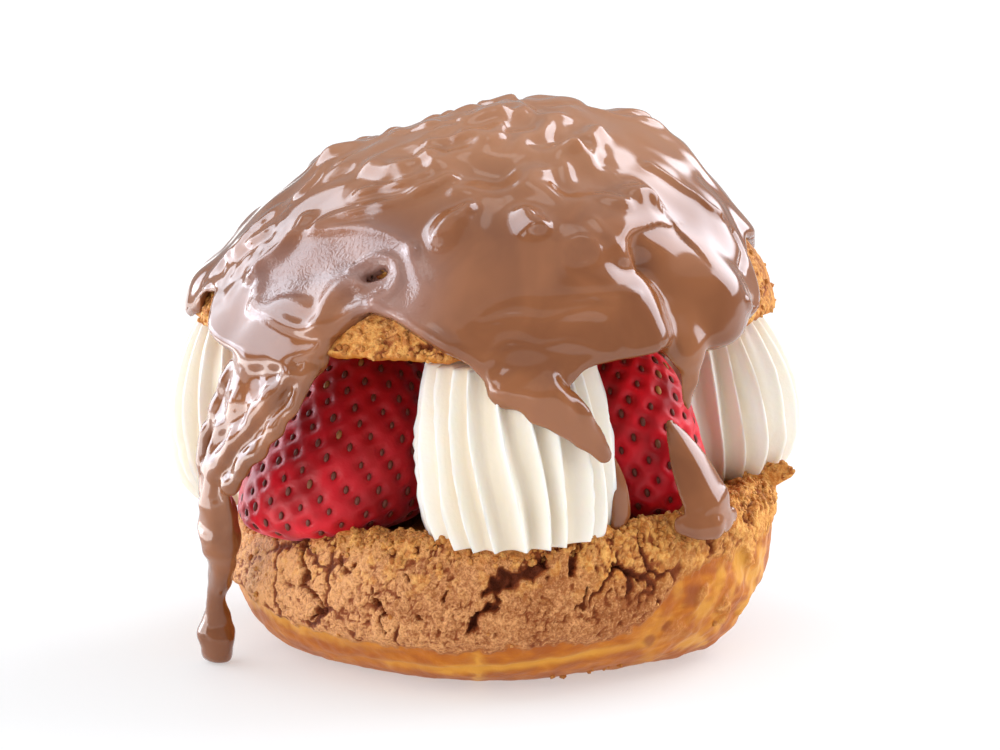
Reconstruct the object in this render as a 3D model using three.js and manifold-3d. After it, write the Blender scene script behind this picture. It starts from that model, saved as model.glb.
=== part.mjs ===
// Filled choux bun: a split bun with a crackled crust, piped cream and strawberries between
// its halves, and milk chocolate poured over the lid so that it runs down the sides.
// Millimetres, +Z up, front at -Y. Azimuths are degrees from the front, turning towards +X.
// The origin is the centre of the flat underside of the lower half.

import * as THREE from "three";
import { ImprovedNoise } from "three/addons/math/ImprovedNoise.js";
import { mergeVertices } from "three/addons/utils/BufferGeometryUtils.js";
import Module from "manifold-3d";

const wasm = await Module();
wasm.setup();

// Driving dimensions

// Clear space between pieces that touch.
const GAP = 0.3;

// Lower half of the bun. It is fuller on the right, so its sides are shifted that way.
const BASE = { radius: 45.6, footRadius: 29.5, rim: 25, shift: 3, columns: 72 };
// Crackled crust on the lower half: how far it stands out, and how low its edge comes.
const CRUST = { thickness: 1.3, foot: 9, fissure: 1.5, lump: 11 };
// Loose flake of crust that sticks out at the rim's right end.
const FLAKE = { azimuth: 84, inner: 44.5, outer: 52, z: 26, rise: 4, thickness: 2.6 };

// The filling stands on a seat that rises to the right.
const SEAT = { z: 25.2, slope: 0.055 };

// Upper half of the bun: a superellipse of revolution, cut off flat underneath.
const LID = { centre: 50, radius: 50.3, rise: 40.6, power: 1.8, under: 57.2, columns: 48, rows: 9 };
const LID_TILT = { x: 0.01, y: 0.03 };
// The dome leans: it is shifted left at its edge and right at its top.
const LEAN = { atEdge: -1.1, perHeight: 0.18, edge: 60 };
const LUMPS = { size: 14, height: 1.1 };

// Chocolate over the lid.
const COAT = { thickness: 2, edge: 57, curtain: 3.2, lip: 1, columns: 72, rows: 13 };
// Patches where the chocolate stops short and the crust shows, and lobes where it hangs lower.
const BARE = [
  { azimuth: -19, reach: 16, lift: 5.6 },
  { azimuth: -84, reach: 26, lift: 3.5 },
  { azimuth: 80, reach: 24, lift: 9 },
  { azimuth: 148, reach: 20, lift: 5 },
  { azimuth: -152, reach: 20, lift: 5 },
];
const LOBES = [
  { azimuth: 7, reach: 15, drop: 8 },
  { azimuth: -43, reach: 13, drop: 2.5 },
  { azimuth: 47, reach: 14, drop: 1.5 },
  { azimuth: 115, reach: 22, drop: 2.5 },
  { azimuth: -124, reach: 20, drop: 2.5 },
  { azimuth: 181, reach: 24, drop: 4 },
];
// Two coated crumbs that stand up on the front of the dome.
const KNOBS = [
  { azimuth: -6, z: 73.5, size: 5.2, rise: 1.9 },
  { azimuth: 9, z: 73, size: 4.6, rise: 1.7 },
];

// Runs of chocolate. Each step is azimuth, distance from the axis, height and half width, and
// flatness is the depth of a run as a share of its width.
const RUNS = {
  long: {
    flatness: 0.72,
    steps: [
      [-41, 46.6, 58.5, 6],
      [-47, 50, 51.5, 5.2],
      [-57, 50.4, 43, 3.9],
      [-64, 50.4, 33, 3.5],
      [-68, 50.2, 22, 3.9],
      [-68, 49.8, 11, 2],
      [-68, 49.8, 0.4, 3.4],
    ],
  },
  front: {
    flatness: 0.6,
    steps: [
      [4, 49.4, 58, 6],
      [8, 52.8, 49.6, 5],
      [14, 52.4, 45.6, 3.4],
      [20.5, 50.6, 40.8, 2.1],
    ],
  },
  right: {
    flatness: 0.62,
    steps: [
      [39, 47.4, 60, 4.6],
      [37, 50.2, 54, 3],
      [36.5, 48.8, 46.5, 0.9],
    ],
  },
  back: {
    flatness: 0.6,
    steps: [
      [183, 47.8, 59, 5],
      [181, 52.8, 51, 4],
      [177, 53.4, 40, 2.3],
    ],
  },
  backRight: {
    flatness: 0.65,
    steps: [
      [119, 47.4, 60, 4.4],
      [121, 50.8, 52, 2.9],
      [122, 50.8, 43.5, 1.7],
    ],
  },
  backLeft: {
    flatness: 0.65,
    steps: [
      [-126, 47.4, 60, 4.4],
      [-127, 51.2, 52, 3],
      [-128, 50.6, 46, 1.8],
    ],
  },
};
// Chocolate that has come away from the coat and rests on a strawberry.
const LOOSE_RUNS = {
  chocolate_run_wide: {
    flatness: 0.5,
    steps: [
      [37.5, 43.6, 46, 2],
      [42, 46.5, 38, 3.2],
      [45.5, 48.2, 30.5, 4.4],
      [47.5, 48.6, 26, 4.9],
    ],
  },
  chocolate_run_narrow: {
    flatness: 0.55,
    steps: [
      [24.5, 42.6, 39.5, 1.1],
      [26, 43.4, 34, 1.9],
      [25.4, 43.4, 27.6, 1.6],
    ],
  },
};

// Piped cream: each stands at (x, y) on the seat, and `turn` is where its first ridge points.
// Foot and top are shares of its greatest radius.
const CREAM = { ridges: 20, ridge: 1.9, twist: -22, belly: 0.4, rows: 7 };
const CREAMS = {
  cream_front: { x: 4.2, y: -36.9, radius: 16.2, foot: 0.78, top: 0.77, turn: 0 },
  cream_right: { x: 37.2, y: 4.5, radius: 16, foot: 0.68, top: 0.52, turn: 5 },
  cream_back: { x: -1, y: 37.5, radius: 15.5, foot: 0.72, top: 0.7, turn: 9 },
  cream_left: { x: -39.3, y: 6, radius: 16, foot: 0.66, top: 0.52, turn: 3 },
};

// Strawberries, tip up, leaning on the middle and pressed a little way into the lower half.
const BERRY = { taper: 0.26, lean: 0.2, flat: 0.1, sink: 1.8, across: 18, along: 11 };
const BERRIES = {
  strawberry_front_left: { x: -25.9, y: -23.6, radius: 15.2 },
  strawberry_front_right: { x: 27, y: -21, radius: 11 },
  strawberry_back_right: { x: 25.4, y: 29.6, radius: 10.8 },
  strawberry_back_left: { x: -27.6, y: 31, radius: 10.7 },
};

// Cream that fills the middle, between the pieces of the ring.
const HEART = { radius: 22.5, columns: 24 };

// Materials

function finish(color, roughness) {
  return new THREE.MeshStandardMaterial({ color, roughness, metalness: 0 });
}
const PASTRY = finish(0xb47b4b, 0.85);
const CREAM_WHITE = finish(0xefe6d6, 0.5);
const BERRY_RED = finish(0x97191f, 0.35);
const CHOCOLATE = finish(0x9a6a50, 0.2);

// Measuring

const noise = new ImprovedNoise();
const { clamp, degToRad, lerp, smoothstep } = THREE.MathUtils;

// The point at an azimuth, a distance from the axis and a height.
function around(azimuth, radius, z) {
  const angle = degToRad(azimuth);
  return new THREE.Vector3(radius * Math.sin(angle), -radius * Math.cos(angle), z);
}

// 1 at the centre azimuth, falling smoothly to 0 at `reach` degrees to either side.
function bump(azimuth, centre, reach) {
  const apart = Math.abs(((azimuth - centre + 900) % 360) - 180);
  return apart < reach ? (1 + Math.cos((Math.PI * apart) / reach)) / 2 : 0;
}

// Smooth noise from -1 to 1, with features of the given size.
function noiseAt(point, size) {
  return noise.noise(point.x / size, point.y / size, point.z / size);
}

// 1 in the narrow valleys where the noise changes sign, and 0 on the plates between them.
function fissureAt(point, size) {
  return 1 - smoothstep(Math.abs(noiseAt(point, size)), 0.02, 0.2);
}

function seatAt(x) {
  return SEAT.z + SEAT.slope * x;
}

function lidUnderAt(x, y) {
  return LID.under + LID_TILT.x * x + LID_TILT.y * y;
}

// How low the crust comes on the lower half: almost to the floor on the left and in front,
// and only the rim on the right.
function crustFootAt(azimuth) {
  return CRUST.foot + 10 * bump(azimuth, 85, 62) + 3 * bump(azimuth, 190, 60);
}

// How low the chocolate's edge comes.
function coatEdgeAt(azimuth) {
  let edge = COAT.edge + LID_TILT.x * 40 * Math.sin(degToRad(azimuth));
  for (const { azimuth: centre, reach, lift } of BARE) edge += lift * bump(azimuth, centre, reach);
  for (const { azimuth: centre, reach, drop } of LOBES) edge -= drop * bump(azimuth, centre, reach);
  return edge;
}

// Shaping

// Moves each vertex to where `place` puts it. Place gets the vertex and its u and v.
function reshape(geometry, place) {
  const position = geometry.getAttribute("position");
  const uv = geometry.getAttribute("uv");
  const vertex = new THREE.Vector3();
  for (let i = 0; i < position.count; i++) {
    vertex.fromBufferAttribute(position, i);
    const { x, y, z } = place(vertex, uv.getX(i), uv.getY(i));
    position.setXYZ(i, x, y, z);
  }
  return geometry;
}

// A closed body turned about Z from a profile of [radius, height], bottom to top.
function turned(profile, columns) {
  const points = profile.map(([radius, height]) => new THREE.Vector2(radius, height));
  return new THREE.LatheGeometry(points, columns).rotateX(Math.PI / 2);
}

// A sphere drawn out along a smooth path through the steps of a run, with round ends.
function drawnOut({ flatness, steps }) {
  const path = new THREE.CatmullRomCurve3(steps.map(([azimuth, radius, z]) => around(azimuth, radius, z)));
  const length = path.getLength();
  const last = steps.length - 1;
  const halfWidth = (t) => {
    const step = Math.min(Math.floor(t * last), last - 1);
    return lerp(steps[step][3], steps[step + 1][3], smoothstep(t * last - step, 0, 1));
  };
  // 0 at the two ends, rising to 1 within a half width of them.
  const rounding = (share) => {
    const fromEnd = Math.min((share * length) / steps[0][3], ((1 - share) * length) / steps[last][3], 1);
    return Math.sqrt(1 - (1 - fromEnd) ** 2);
  };
  const ball = new THREE.SphereGeometry(1, 8, 3 * last + 3).rotateX(Math.PI / 2);
  return reshape(ball, ({ x, y, z }) => {
    const share = clamp((1 - z) / 2, 0, 1);
    const t = path.getUtoTmapping(share);
    const spot = path.getPoint(t);
    const outward = new THREE.Vector3(spot.x, spot.y, 0).normalize();
    const across = new THREE.Vector3().crossVectors(path.getTangent(t), outward).normalize();
    const angle = Math.atan2(y, x);
    const width = halfWidth(t) * rounding(share);
    return spot
      .addScaledVector(across, width * Math.cos(angle))
      .addScaledVector(outward, width * flatness * Math.sin(angle));
  });
}

// Solids

function solidOf(geometry) {
  const bare = new THREE.BufferGeometry();
  bare.setAttribute("position", geometry.getAttribute("position").clone());
  bare.setIndex(geometry.index);
  const merged = mergeVertices(bare, 1e-4);
  const corners = merged.index.array;
  const triVerts = [];
  for (let i = 0; i < corners.length; i += 3) {
    const [a, b, c] = corners.slice(i, i + 3);
    if (a !== b && b !== c && c !== a) triVerts.push(a, b, c);
  }
  const vertProperties = merged.getAttribute("position").array;
  return new wasm.Manifold(new wasm.Mesh({ numProp: 3, vertProperties, triVerts: new Uint32Array(triVerts) }));
}

function geometryOf(solid) {
  const { vertProperties, triVerts } = solid.getMesh();
  const geometry = new THREE.BufferGeometry();
  geometry.setAttribute("position", new THREE.BufferAttribute(vertProperties, 3));
  geometry.setIndex(new THREE.BufferAttribute(triVerts, 1));
  geometry.computeVertexNormals();
  return geometry;
}

// The largest body of a solid, without the scraps that a cut leaves.
function largestOf(solid) {
  return solid.decompose().reduce((most, body) => (body.volume() > most.volume() ? body : most));
}

// Lower half

function baseGeometry() {
  const { radius, footRadius, rim } = BASE;
  const profile = [
    [0, 0],
    [footRadius * 0.6, 0],
    [footRadius, 0],
    [radius * 0.79, 1.1],
    [radius * 0.9, 4],
    [radius * 0.955, 7],
    [radius * 0.99, 10],
    [radius * 1.01, 13],
    [radius * 1.015, 16],
    [radius * 1.01, 19],
    [radius, 21.8],
    [radius * 0.98, rim - 0.8],
    [radius * 0.945, rim],
    [radius * 0.89, rim - 0.2],
    [radius * 0.6, rim - 0.2],
    [0, rim - 0.2],
  ];
  return reshape(turned(profile, BASE.columns), (vertex, u) => {
    const { x, y, z } = vertex;
    const azimuth = u * 360;
    const height = z / rim;
    const outward = new THREE.Vector3(x, y, 0).normalize();
    const distance = Math.hypot(x, y);
    const side = smoothstep(distance, footRadius, radius * 0.9);
    const crusted = side * smoothstep(z, crustFootAt(azimuth) - 1, crustFootAt(azimuth) + 1.5);
    const spread =
      side * (noiseAt(vertex, 30) * 1.2) +
      crusted * (CRUST.thickness - CRUST.fissure * fissureAt(vertex, CRUST.lump)) +
      side * (1 - crusted) * noiseAt(vertex, 8) * 0.5;
    const raggedRim = smoothstep(z, rim - 5, rim) * side * noiseAt(vertex, 7) * 0.9;
    const tilt = SEAT.slope * x * height ** 2;
    return vertex
      .clone()
      .addScaledVector(outward, spread)
      .add(new THREE.Vector3(BASE.shift * side * lerp(0.4, 1, height), 0, tilt + raggedRim));
  });
}

function baseSolid() {
  const { azimuth, inner, outer, z, rise, thickness } = FLAKE;
  const flake = drawnOut({
    flatness: 0.7,
    steps: [
      [azimuth, inner, z, thickness],
      [azimuth + 1, (inner + outer) / 2, z + rise / 3, thickness],
      [azimuth + 2, outer, z + rise, thickness / 2],
    ],
  });
  return largestOf(solidOf(baseGeometry()).add(solidOf(flake)));
}

// Upper half

// Distance of the dome from its axis at a height above its centre, as a share of its rise.
function domeRadius(share) {
  return (1 - Math.min(Math.abs(share), 1) ** LID.power) ** (1 / LID.power);
}

// The dome's own sideways lean and its lumps, added to a point that is `grow` off the crust.
function settle(point, lumpShare) {
  const middle = new THREE.Vector3(0, 0, LID.centre + 10);
  const outward = point.clone().sub(middle).normalize();
  const spot = outward.clone().multiplyScalar(LID.rise);
  const lumps = LUMPS.height * (noiseAt(spot, LUMPS.size) + 0.5 * noiseAt(spot, LUMPS.size / 1.8));
  const knobs = KNOBS.reduce((sum, { azimuth, z, size, rise }) => {
    const knob = around(azimuth, LID.radius * domeRadius((z - LID.centre) / LID.rise), z);
    const apart = outward.angleTo(knob.sub(middle)) * LID.rise;
    return sum + rise * Math.exp(-((apart / (size * 0.6)) ** 2));
  }, 0);
  const lean = LEAN.atEdge + LEAN.perHeight * (point.z - LEAN.edge);
  return point
    .clone()
    .addScaledVector(outward, (lumps + knobs) * lumpShare)
    .add(new THREE.Vector3(lean, 0, 0));
}

function lidGeometry(grow = 0) {
  const { rows } = LID;
  const under = LID.under - grow;
  const edgeShare = (under - LID.centre) / LID.rise;
  const profile = [
    [0, under],
    [LID.radius * 0.55, under],
    [LID.radius * domeRadius(edgeShare) * 0.965 + grow, under],
  ];
  for (let row = 0; row <= rows; row++) {
    const share = edgeShare + 0.02 + (1 - edgeShare - 0.02) * (1 - (1 - row / rows) ** 1.6);
    profile.push([(LID.radius + grow) * domeRadius(share), LID.centre + (LID.rise + grow) * share]);
  }
  return reshape(turned(profile, LID.columns), (vertex) => {
    const above = smoothstep(vertex.z, under, under + 6);
    const moved = settle(vertex, above);
    const tilt = (1 - above) * (LID_TILT.x * vertex.x + LID_TILT.y * vertex.y);
    return moved.add(new THREE.Vector3(0, 0, tilt));
  });
}

// Chocolate

// The outside of the coat down to its edge, its rounded lip, and a way back up inside the lid.
function coatGeometry() {
  const { thickness, curtain, lip, rows } = COAT;
  const rise = LID.rise + thickness;
  const radius = LID.radius + thickness;
  const turns = [0.3, 0.75, 1];
  const points = rows + turns.length + 3;
  const profile = Array.from({ length: points }, (_, i) => [Math.min(i, points - 1 - i) + 1, i]);
  profile[0][0] = 0;
  profile[points - 1][0] = 0;
  return reshape(turned(profile, COAT.columns), (vertex, u, v) => {
    const azimuth = u * 360;
    const row = Math.round((1 - v) * (points - 1));
    const edge = coatEdgeAt(azimuth);
    const edgeShare = (edge - LID.centre) / rise;
    const hang = bump(azimuth, 7, 17) * smoothstep(LID.under - edge, 0, 8);
    const edgeRadius = radius * domeRadius(Math.max(edgeShare, 0)) + 1.6 * hang;
    if (row <= rows) {
      const share = edgeShare + (1 - edgeShare) * (1 - (row / rows) ** 1.6);
      const flare = 1.6 * hang * smoothstep(-share, -0.25, -edgeShare);
      const distance = radius * domeRadius(Math.max(share, 0)) + flare;
      return settle(around(azimuth, row ? distance : 0, LID.centre + rise * share), 1);
    }
    if (row === points - 1) return new THREE.Vector3(0, 0, LID.centre + LID.rise * 0.5);
    if (row === points - 2) {
      const inside = Math.max(edge + 2, LID.under + 2);
      return settle(around(azimuth, edgeRadius - curtain - 0.6, inside), 0);
    }
    const turn = turns[row - rows - 1] * Math.PI;
    const inward = (curtain / 2) * (1 - Math.cos(turn));
    return settle(around(azimuth, edgeRadius - inward, edge - lip * Math.sin(turn)), 0);
  });
}

function coatSolid(cutters) {
  let coat = solidOf(coatGeometry());
  for (const run of Object.values(RUNS)) coat = coat.add(solidOf(drawnOut(run)));
  coat = coat.subtract(solidOf(lidGeometry(GAP)));
  for (const cutter of cutters) coat = coat.subtract(cutter);
  return largestOf(coat);
}

// Filling

// Share of a piped cream's radius at a share of its height: tucked in at the foot, widest at
// the belly, and drawn in again under the lid.
function creamWidth({ foot, top }, share) {
  const { belly } = CREAM;
  if (share < belly) return 1 - (1 - foot) * ((belly - share) / belly) ** 3;
  return 1 - (1 - top) * ((share - belly) / (1 - belly)) ** 2;
}

// A star-piped cream with ridges that wind up round it, or its plain outline `grow` outside them.
function creamGeometry(cream, height, grow = 0) {
  const { ridges, ridge, twist, rows } = CREAM;
  const profile = [[0, -grow]];
  for (let row = 0; row <= rows; row++) {
    const share = row / rows;
    profile.push([cream.radius * creamWidth(cream, share) + grow, lerp(-grow, height + grow, share)]);
  }
  profile.push([0, height + grow]);
  const columns = grow ? ridges : ridges * 2;
  return reshape(turned(profile, columns), ({ x, y, z }, u) => {
    const distance = Math.hypot(x, y);
    const valley = !grow && Math.round(u * columns) % 2 === 1;
    const depth = valley ? ridge * Math.min(distance / cream.radius, 1) : 0;
    return around(u * 360 + cream.turn + twist * (z / height), distance - depth, z);
  });
}

// A strawberry on its cut end, tip up, its axis leaning by `lean` (x, y) for each unit of height.
function berryGeometry({ radius }, height, lean, grow = 0) {
  const { taper, flat, across, along } = BERRY;
  const widest = 1 + taper ** 2 / 2;
  const ball = new THREE.SphereGeometry(1, across, along).rotateX(Math.PI / 2);
  return reshape(ball, ({ x, y, z }) => {
    const share = Math.max(((z + 1) / 2) * (1 + flat) - flat, 0);
    const width = ((radius + grow) * (1 - taper * z)) / widest;
    const up = lerp(-grow, height + grow, share);
    return new THREE.Vector3(width * x + lean.x * up, width * y + lean.y * up, up);
  });
}

function heartGeometry(height) {
  const { radius, columns } = HEART;
  const profile = [
    [0, 0],
    [radius * 0.9, 0],
    [radius, height * 0.35],
    [radius * 0.9, height],
    [0, height],
  ];
  return turned(profile, columns);
}

// Assembly

const bun = new THREE.Group();
const ring = new THREE.Group();
ring.position.z = SEAT.z;
ring.rotation.y = -Math.atan(SEAT.slope);
bun.add(ring);

function addPiece(parent, name, geometry, material) {
  const mesh = new THREE.Mesh(geometry, material);
  mesh.name = name;
  parent.add(mesh);
  return mesh;
}

// Room between the seat and the lid, with a gap at each end, for a piece of some breadth.
function roomAt(x, y, breadth) {
  return lidUnderAt(x, y) - seatAt(x) - 2 * GAP - breadth * SEAT.slope;
}

// Outlines of the pieces of the ring, a gap larger than they are, for what is fitted round them.
const outlines = [];

function addToRing(name, { x, y }, sink, geometry, material, outline) {
  const mesh = addPiece(ring, name, geometry, material);
  mesh.position.set(x, y, GAP - sink);
  mesh.updateWorldMatrix(true, false);
  const solid = solidOf(outline.applyMatrix4(mesh.matrixWorld));
  outlines.push(solid);
  return solid;
}

for (const [name, cream] of Object.entries(CREAMS)) {
  const height = roomAt(cream.x, cream.y, cream.radius);
  const outline = creamGeometry(cream, height, GAP);
  addToRing(name, cream, 0, creamGeometry(cream, height), CREAM_WHITE, outline);
}

let base = baseSolid();
for (const [name, berry] of Object.entries(BERRIES)) {
  const height = roomAt(berry.x, berry.y, berry.radius) + BERRY.sink;
  const lean = new THREE.Vector2(-berry.x, -berry.y).setLength(BERRY.lean);
  const outline = berryGeometry(berry, height, lean, GAP);
  const hollow = addToRing(name, berry, BERRY.sink, berryGeometry(berry, height, lean), BERRY_RED, outline);
  base = base.subtract(hollow);
}
base = largestOf(base);

const heart = heartGeometry(roomAt(0, 0, HEART.radius));
heart.applyMatrix4(new THREE.Matrix4().makeTranslation(0, 0, GAP).premultiply(ring.matrixWorld));
const heartSolid = outlines.reduce((rest, outline) => rest.subtract(outline), solidOf(heart));
addPiece(bun, "cream_middle", geometryOf(largestOf(heartSolid)), CREAM_WHITE);

addPiece(bun, "choux_base", geometryOf(base), PASTRY);
addPiece(bun, "choux_lid", lidGeometry(), PASTRY);
addPiece(bun, "chocolate_coat", geometryOf(coatSolid(outlines)), CHOCOLATE);

for (const [name, run] of Object.entries(LOOSE_RUNS)) {
  const fitted = outlines.reduce((rest, outline) => rest.subtract(outline), solidOf(drawnOut(run)));
  addPiece(bun, name, geometryOf(largestOf(fitted.subtract(base))), CHOCOLATE);
}

export default bun;
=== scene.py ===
"""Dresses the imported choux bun: crackled pastry, poured chocolate, piped cream and strawberries.

Lengths are millimetres in the part's own frame, with +Z up and the front at -Y, until a mesh
is made. Azimuths are degrees from the front, turning towards +X.
"""

import logging
import math
from collections.abc import Callable, Sequence
from dataclasses import dataclass, field
from enum import Enum
from functools import partial
from itertools import product

import bmesh
import bpy
import numpy as np
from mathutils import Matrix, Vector


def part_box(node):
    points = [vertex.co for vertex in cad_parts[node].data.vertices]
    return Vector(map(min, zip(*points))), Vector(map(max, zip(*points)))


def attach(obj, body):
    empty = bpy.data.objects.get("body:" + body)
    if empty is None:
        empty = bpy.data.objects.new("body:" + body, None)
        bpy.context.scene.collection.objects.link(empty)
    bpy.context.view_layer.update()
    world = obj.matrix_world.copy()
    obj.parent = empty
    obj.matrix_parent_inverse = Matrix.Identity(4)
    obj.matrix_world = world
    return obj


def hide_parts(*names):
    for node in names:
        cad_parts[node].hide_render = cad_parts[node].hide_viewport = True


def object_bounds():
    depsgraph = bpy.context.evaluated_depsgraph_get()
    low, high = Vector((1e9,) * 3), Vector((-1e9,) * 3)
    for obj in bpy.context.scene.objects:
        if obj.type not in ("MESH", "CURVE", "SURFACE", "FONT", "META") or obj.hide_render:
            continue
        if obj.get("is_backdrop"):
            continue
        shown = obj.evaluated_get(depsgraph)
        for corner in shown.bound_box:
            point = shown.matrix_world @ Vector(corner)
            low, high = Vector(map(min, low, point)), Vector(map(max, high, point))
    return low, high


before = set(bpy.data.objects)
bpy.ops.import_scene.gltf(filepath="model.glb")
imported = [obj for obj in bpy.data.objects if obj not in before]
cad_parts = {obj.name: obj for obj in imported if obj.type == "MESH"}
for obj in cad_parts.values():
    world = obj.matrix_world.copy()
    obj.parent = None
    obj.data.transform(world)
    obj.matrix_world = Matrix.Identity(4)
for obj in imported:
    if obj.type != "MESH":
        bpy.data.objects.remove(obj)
CAD_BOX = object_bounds()

LOG = logging.getLogger("choux_bun")
BODY = "root"
MM = 0.001
GOLDEN_ANGLE = 137.508
FAR = 50.0

Array = np.ndarray
Piece = bpy.types.Object
Material = bpy.types.Material
Socket = bpy.types.NodeSocket
Colour = tuple[float, float, float, float]
Steps = tuple[tuple[float, ...], ...]


class Slot(Enum):
    """Material slots of the record."""

    CHOUX = "choux"
    CHOCOLATE = "chocolate"
    CREAM = "cream"
    STRAWBERRY = "strawberry"


# Measuring


def srgb(red: int, green: int, blue: int) -> Colour:
    """Gives the linear colour of display values from 0 to 255."""
    shares = np.array([red, green, blue]) / 255
    return (*np.where(shares <= 0.04045, shares / 12.92, ((shares + 0.055) / 1.055) ** 2.4).tolist(), 1.0)


def smoothstep(low: Array | float, high: Array | float, value: Array) -> Array:
    """Rises smoothly from 0 at low to 1 at high."""
    share = np.clip((value - low) / (high - low), 0, 1)
    return share * share * (3 - 2 * share)


def bump(azimuth: Array, centre: float, reach: float) -> Array:
    """Falls smoothly from 1 at the centre azimuth to 0 at reach degrees to either side."""
    apart = np.abs((azimuth - centre + 180) % 360 - 180)
    return np.where(apart < reach, (1 + np.cos(np.pi * apart / reach)) / 2, 0)


def around(azimuth: Array | float, radius: Array | float, z: Array | float) -> Array:
    """Gives the points at azimuths, distances from the axis and heights."""
    angle = np.radians(azimuth)
    return np.stack(np.broadcast_arrays(radius * np.sin(angle), -radius * np.cos(angle), z), axis=-1)


def soft_min(first: Array, second: Array, blend: Array | float) -> Array:
    """Gives the lower of two fields, with the corner between them filled over the blend length."""
    share = np.maximum(blend - np.abs(first - second), 0) / blend
    return np.minimum(first, second) - share * share * blend / 4


def soft_max(first: Array, second: Array, blend: Array | float) -> Array:
    """Gives the higher of two fields, with the corner between them rounded off."""
    return -soft_min(-first, -second, blend)


def smooth_path(steps: Sequence[Sequence[float]], count: int) -> Array:
    """Draws a smooth curve through steps.

    Args:
        steps: Rows of numbers; the first columns, three at most, are places.
        count: Number of points on the curve.

    Returns:
        Points at even distances along the curve, with the steps' other columns blended.
    """
    knots = np.asarray(steps, float)
    padded = np.vstack([2 * knots[0] - knots[1], knots, 2 * knots[-1] - knots[-2]])
    place = np.linspace(0, len(knots) - 1, 40 * len(knots))
    index = np.minimum(place.astype(int), len(knots) - 2)
    u = (place - index)[:, None]
    a, b, c, d = (padded[index + k] for k in range(4))
    dense = b + u * (c - a + u * (2 * a - 5 * b + 4 * c - d + u * (3 * b - a - 3 * c + d))) / 2
    stretch = np.linalg.norm(np.diff(dense[:, :3], axis=0), axis=1)
    along = np.concatenate([[0], np.cumsum(stretch)])
    even = np.linspace(0, along[-1], count)
    return np.stack([np.interp(even, along, column) for column in dense.T], axis=1)


def curve_round(azimuth: Array, knots: Steps) -> Array:
    """Gives a value that changes smoothly round the axis.

    Args:
        azimuth: Where the value is wanted.
        knots: Pairs of azimuth, from -180 to 180, and value.

    Returns:
        The value at each azimuth.
    """
    table = np.asarray(sorted(knots))
    turn = np.array([360, 0])
    place, value = np.vstack([table - turn, table, table + turn]).T
    slope = np.gradient(value, place)
    spot = (azimuth + 180) % 360 - 180
    index = np.clip(np.searchsorted(place, spot) - 1, 0, len(place) - 2)
    span = place[index + 1] - place[index]
    t = (spot - place[index]) / span
    rise = t * t * (3 - 2 * t)
    start = t * (1 - t) ** 2 * span * slope[index]
    end = t * t * (t - 1) * span * slope[index + 1]
    return value[index] + rise * (value[index + 1] - value[index]) + start + end


def softened(grid: Array, rounds: int) -> Array:
    """Evens out a map that goes round the axis.

    Args:
        grid: Values as rows and columns.
        rounds: How often each value is blended with its neighbours.

    Returns:
        The map in the same layout.
    """
    for _ in range(rounds):
        padded = np.vstack([grid[:1], grid, grid[-1:]])
        grid = (padded[:-2] + 2 * grid + padded[2:]) / 4
        grid = (np.roll(grid, 1, axis=1) + 2 * grid + np.roll(grid, -1, axis=1)) / 4
    return grid


def nearest_on_path(points: Array, path: Array) -> tuple[Array, Array]:
    """Measures how far points are from a path.

    Args:
        points: Points in space.
        path: Points of the path in order.

    Returns:
        The distance of each point, and its place along the path counted in path points.
    """
    best = np.full(len(points), np.inf)
    place = np.zeros(len(points))
    if len(path) == 1:
        return np.linalg.norm(points - path[0], axis=1), place
    for index, (start, end) in enumerate(zip(path[:-1], path[1:])):
        way = end - start
        share = np.clip((points - start) @ way / max(way @ way, 1e-9), 0, 1)
        apart = np.linalg.norm(points - start - share[:, None] * way, axis=1)
        closer = apart < best
        best = np.where(closer, apart, best)
        place = np.where(closer, index + share, place)
    return best, place


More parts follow.
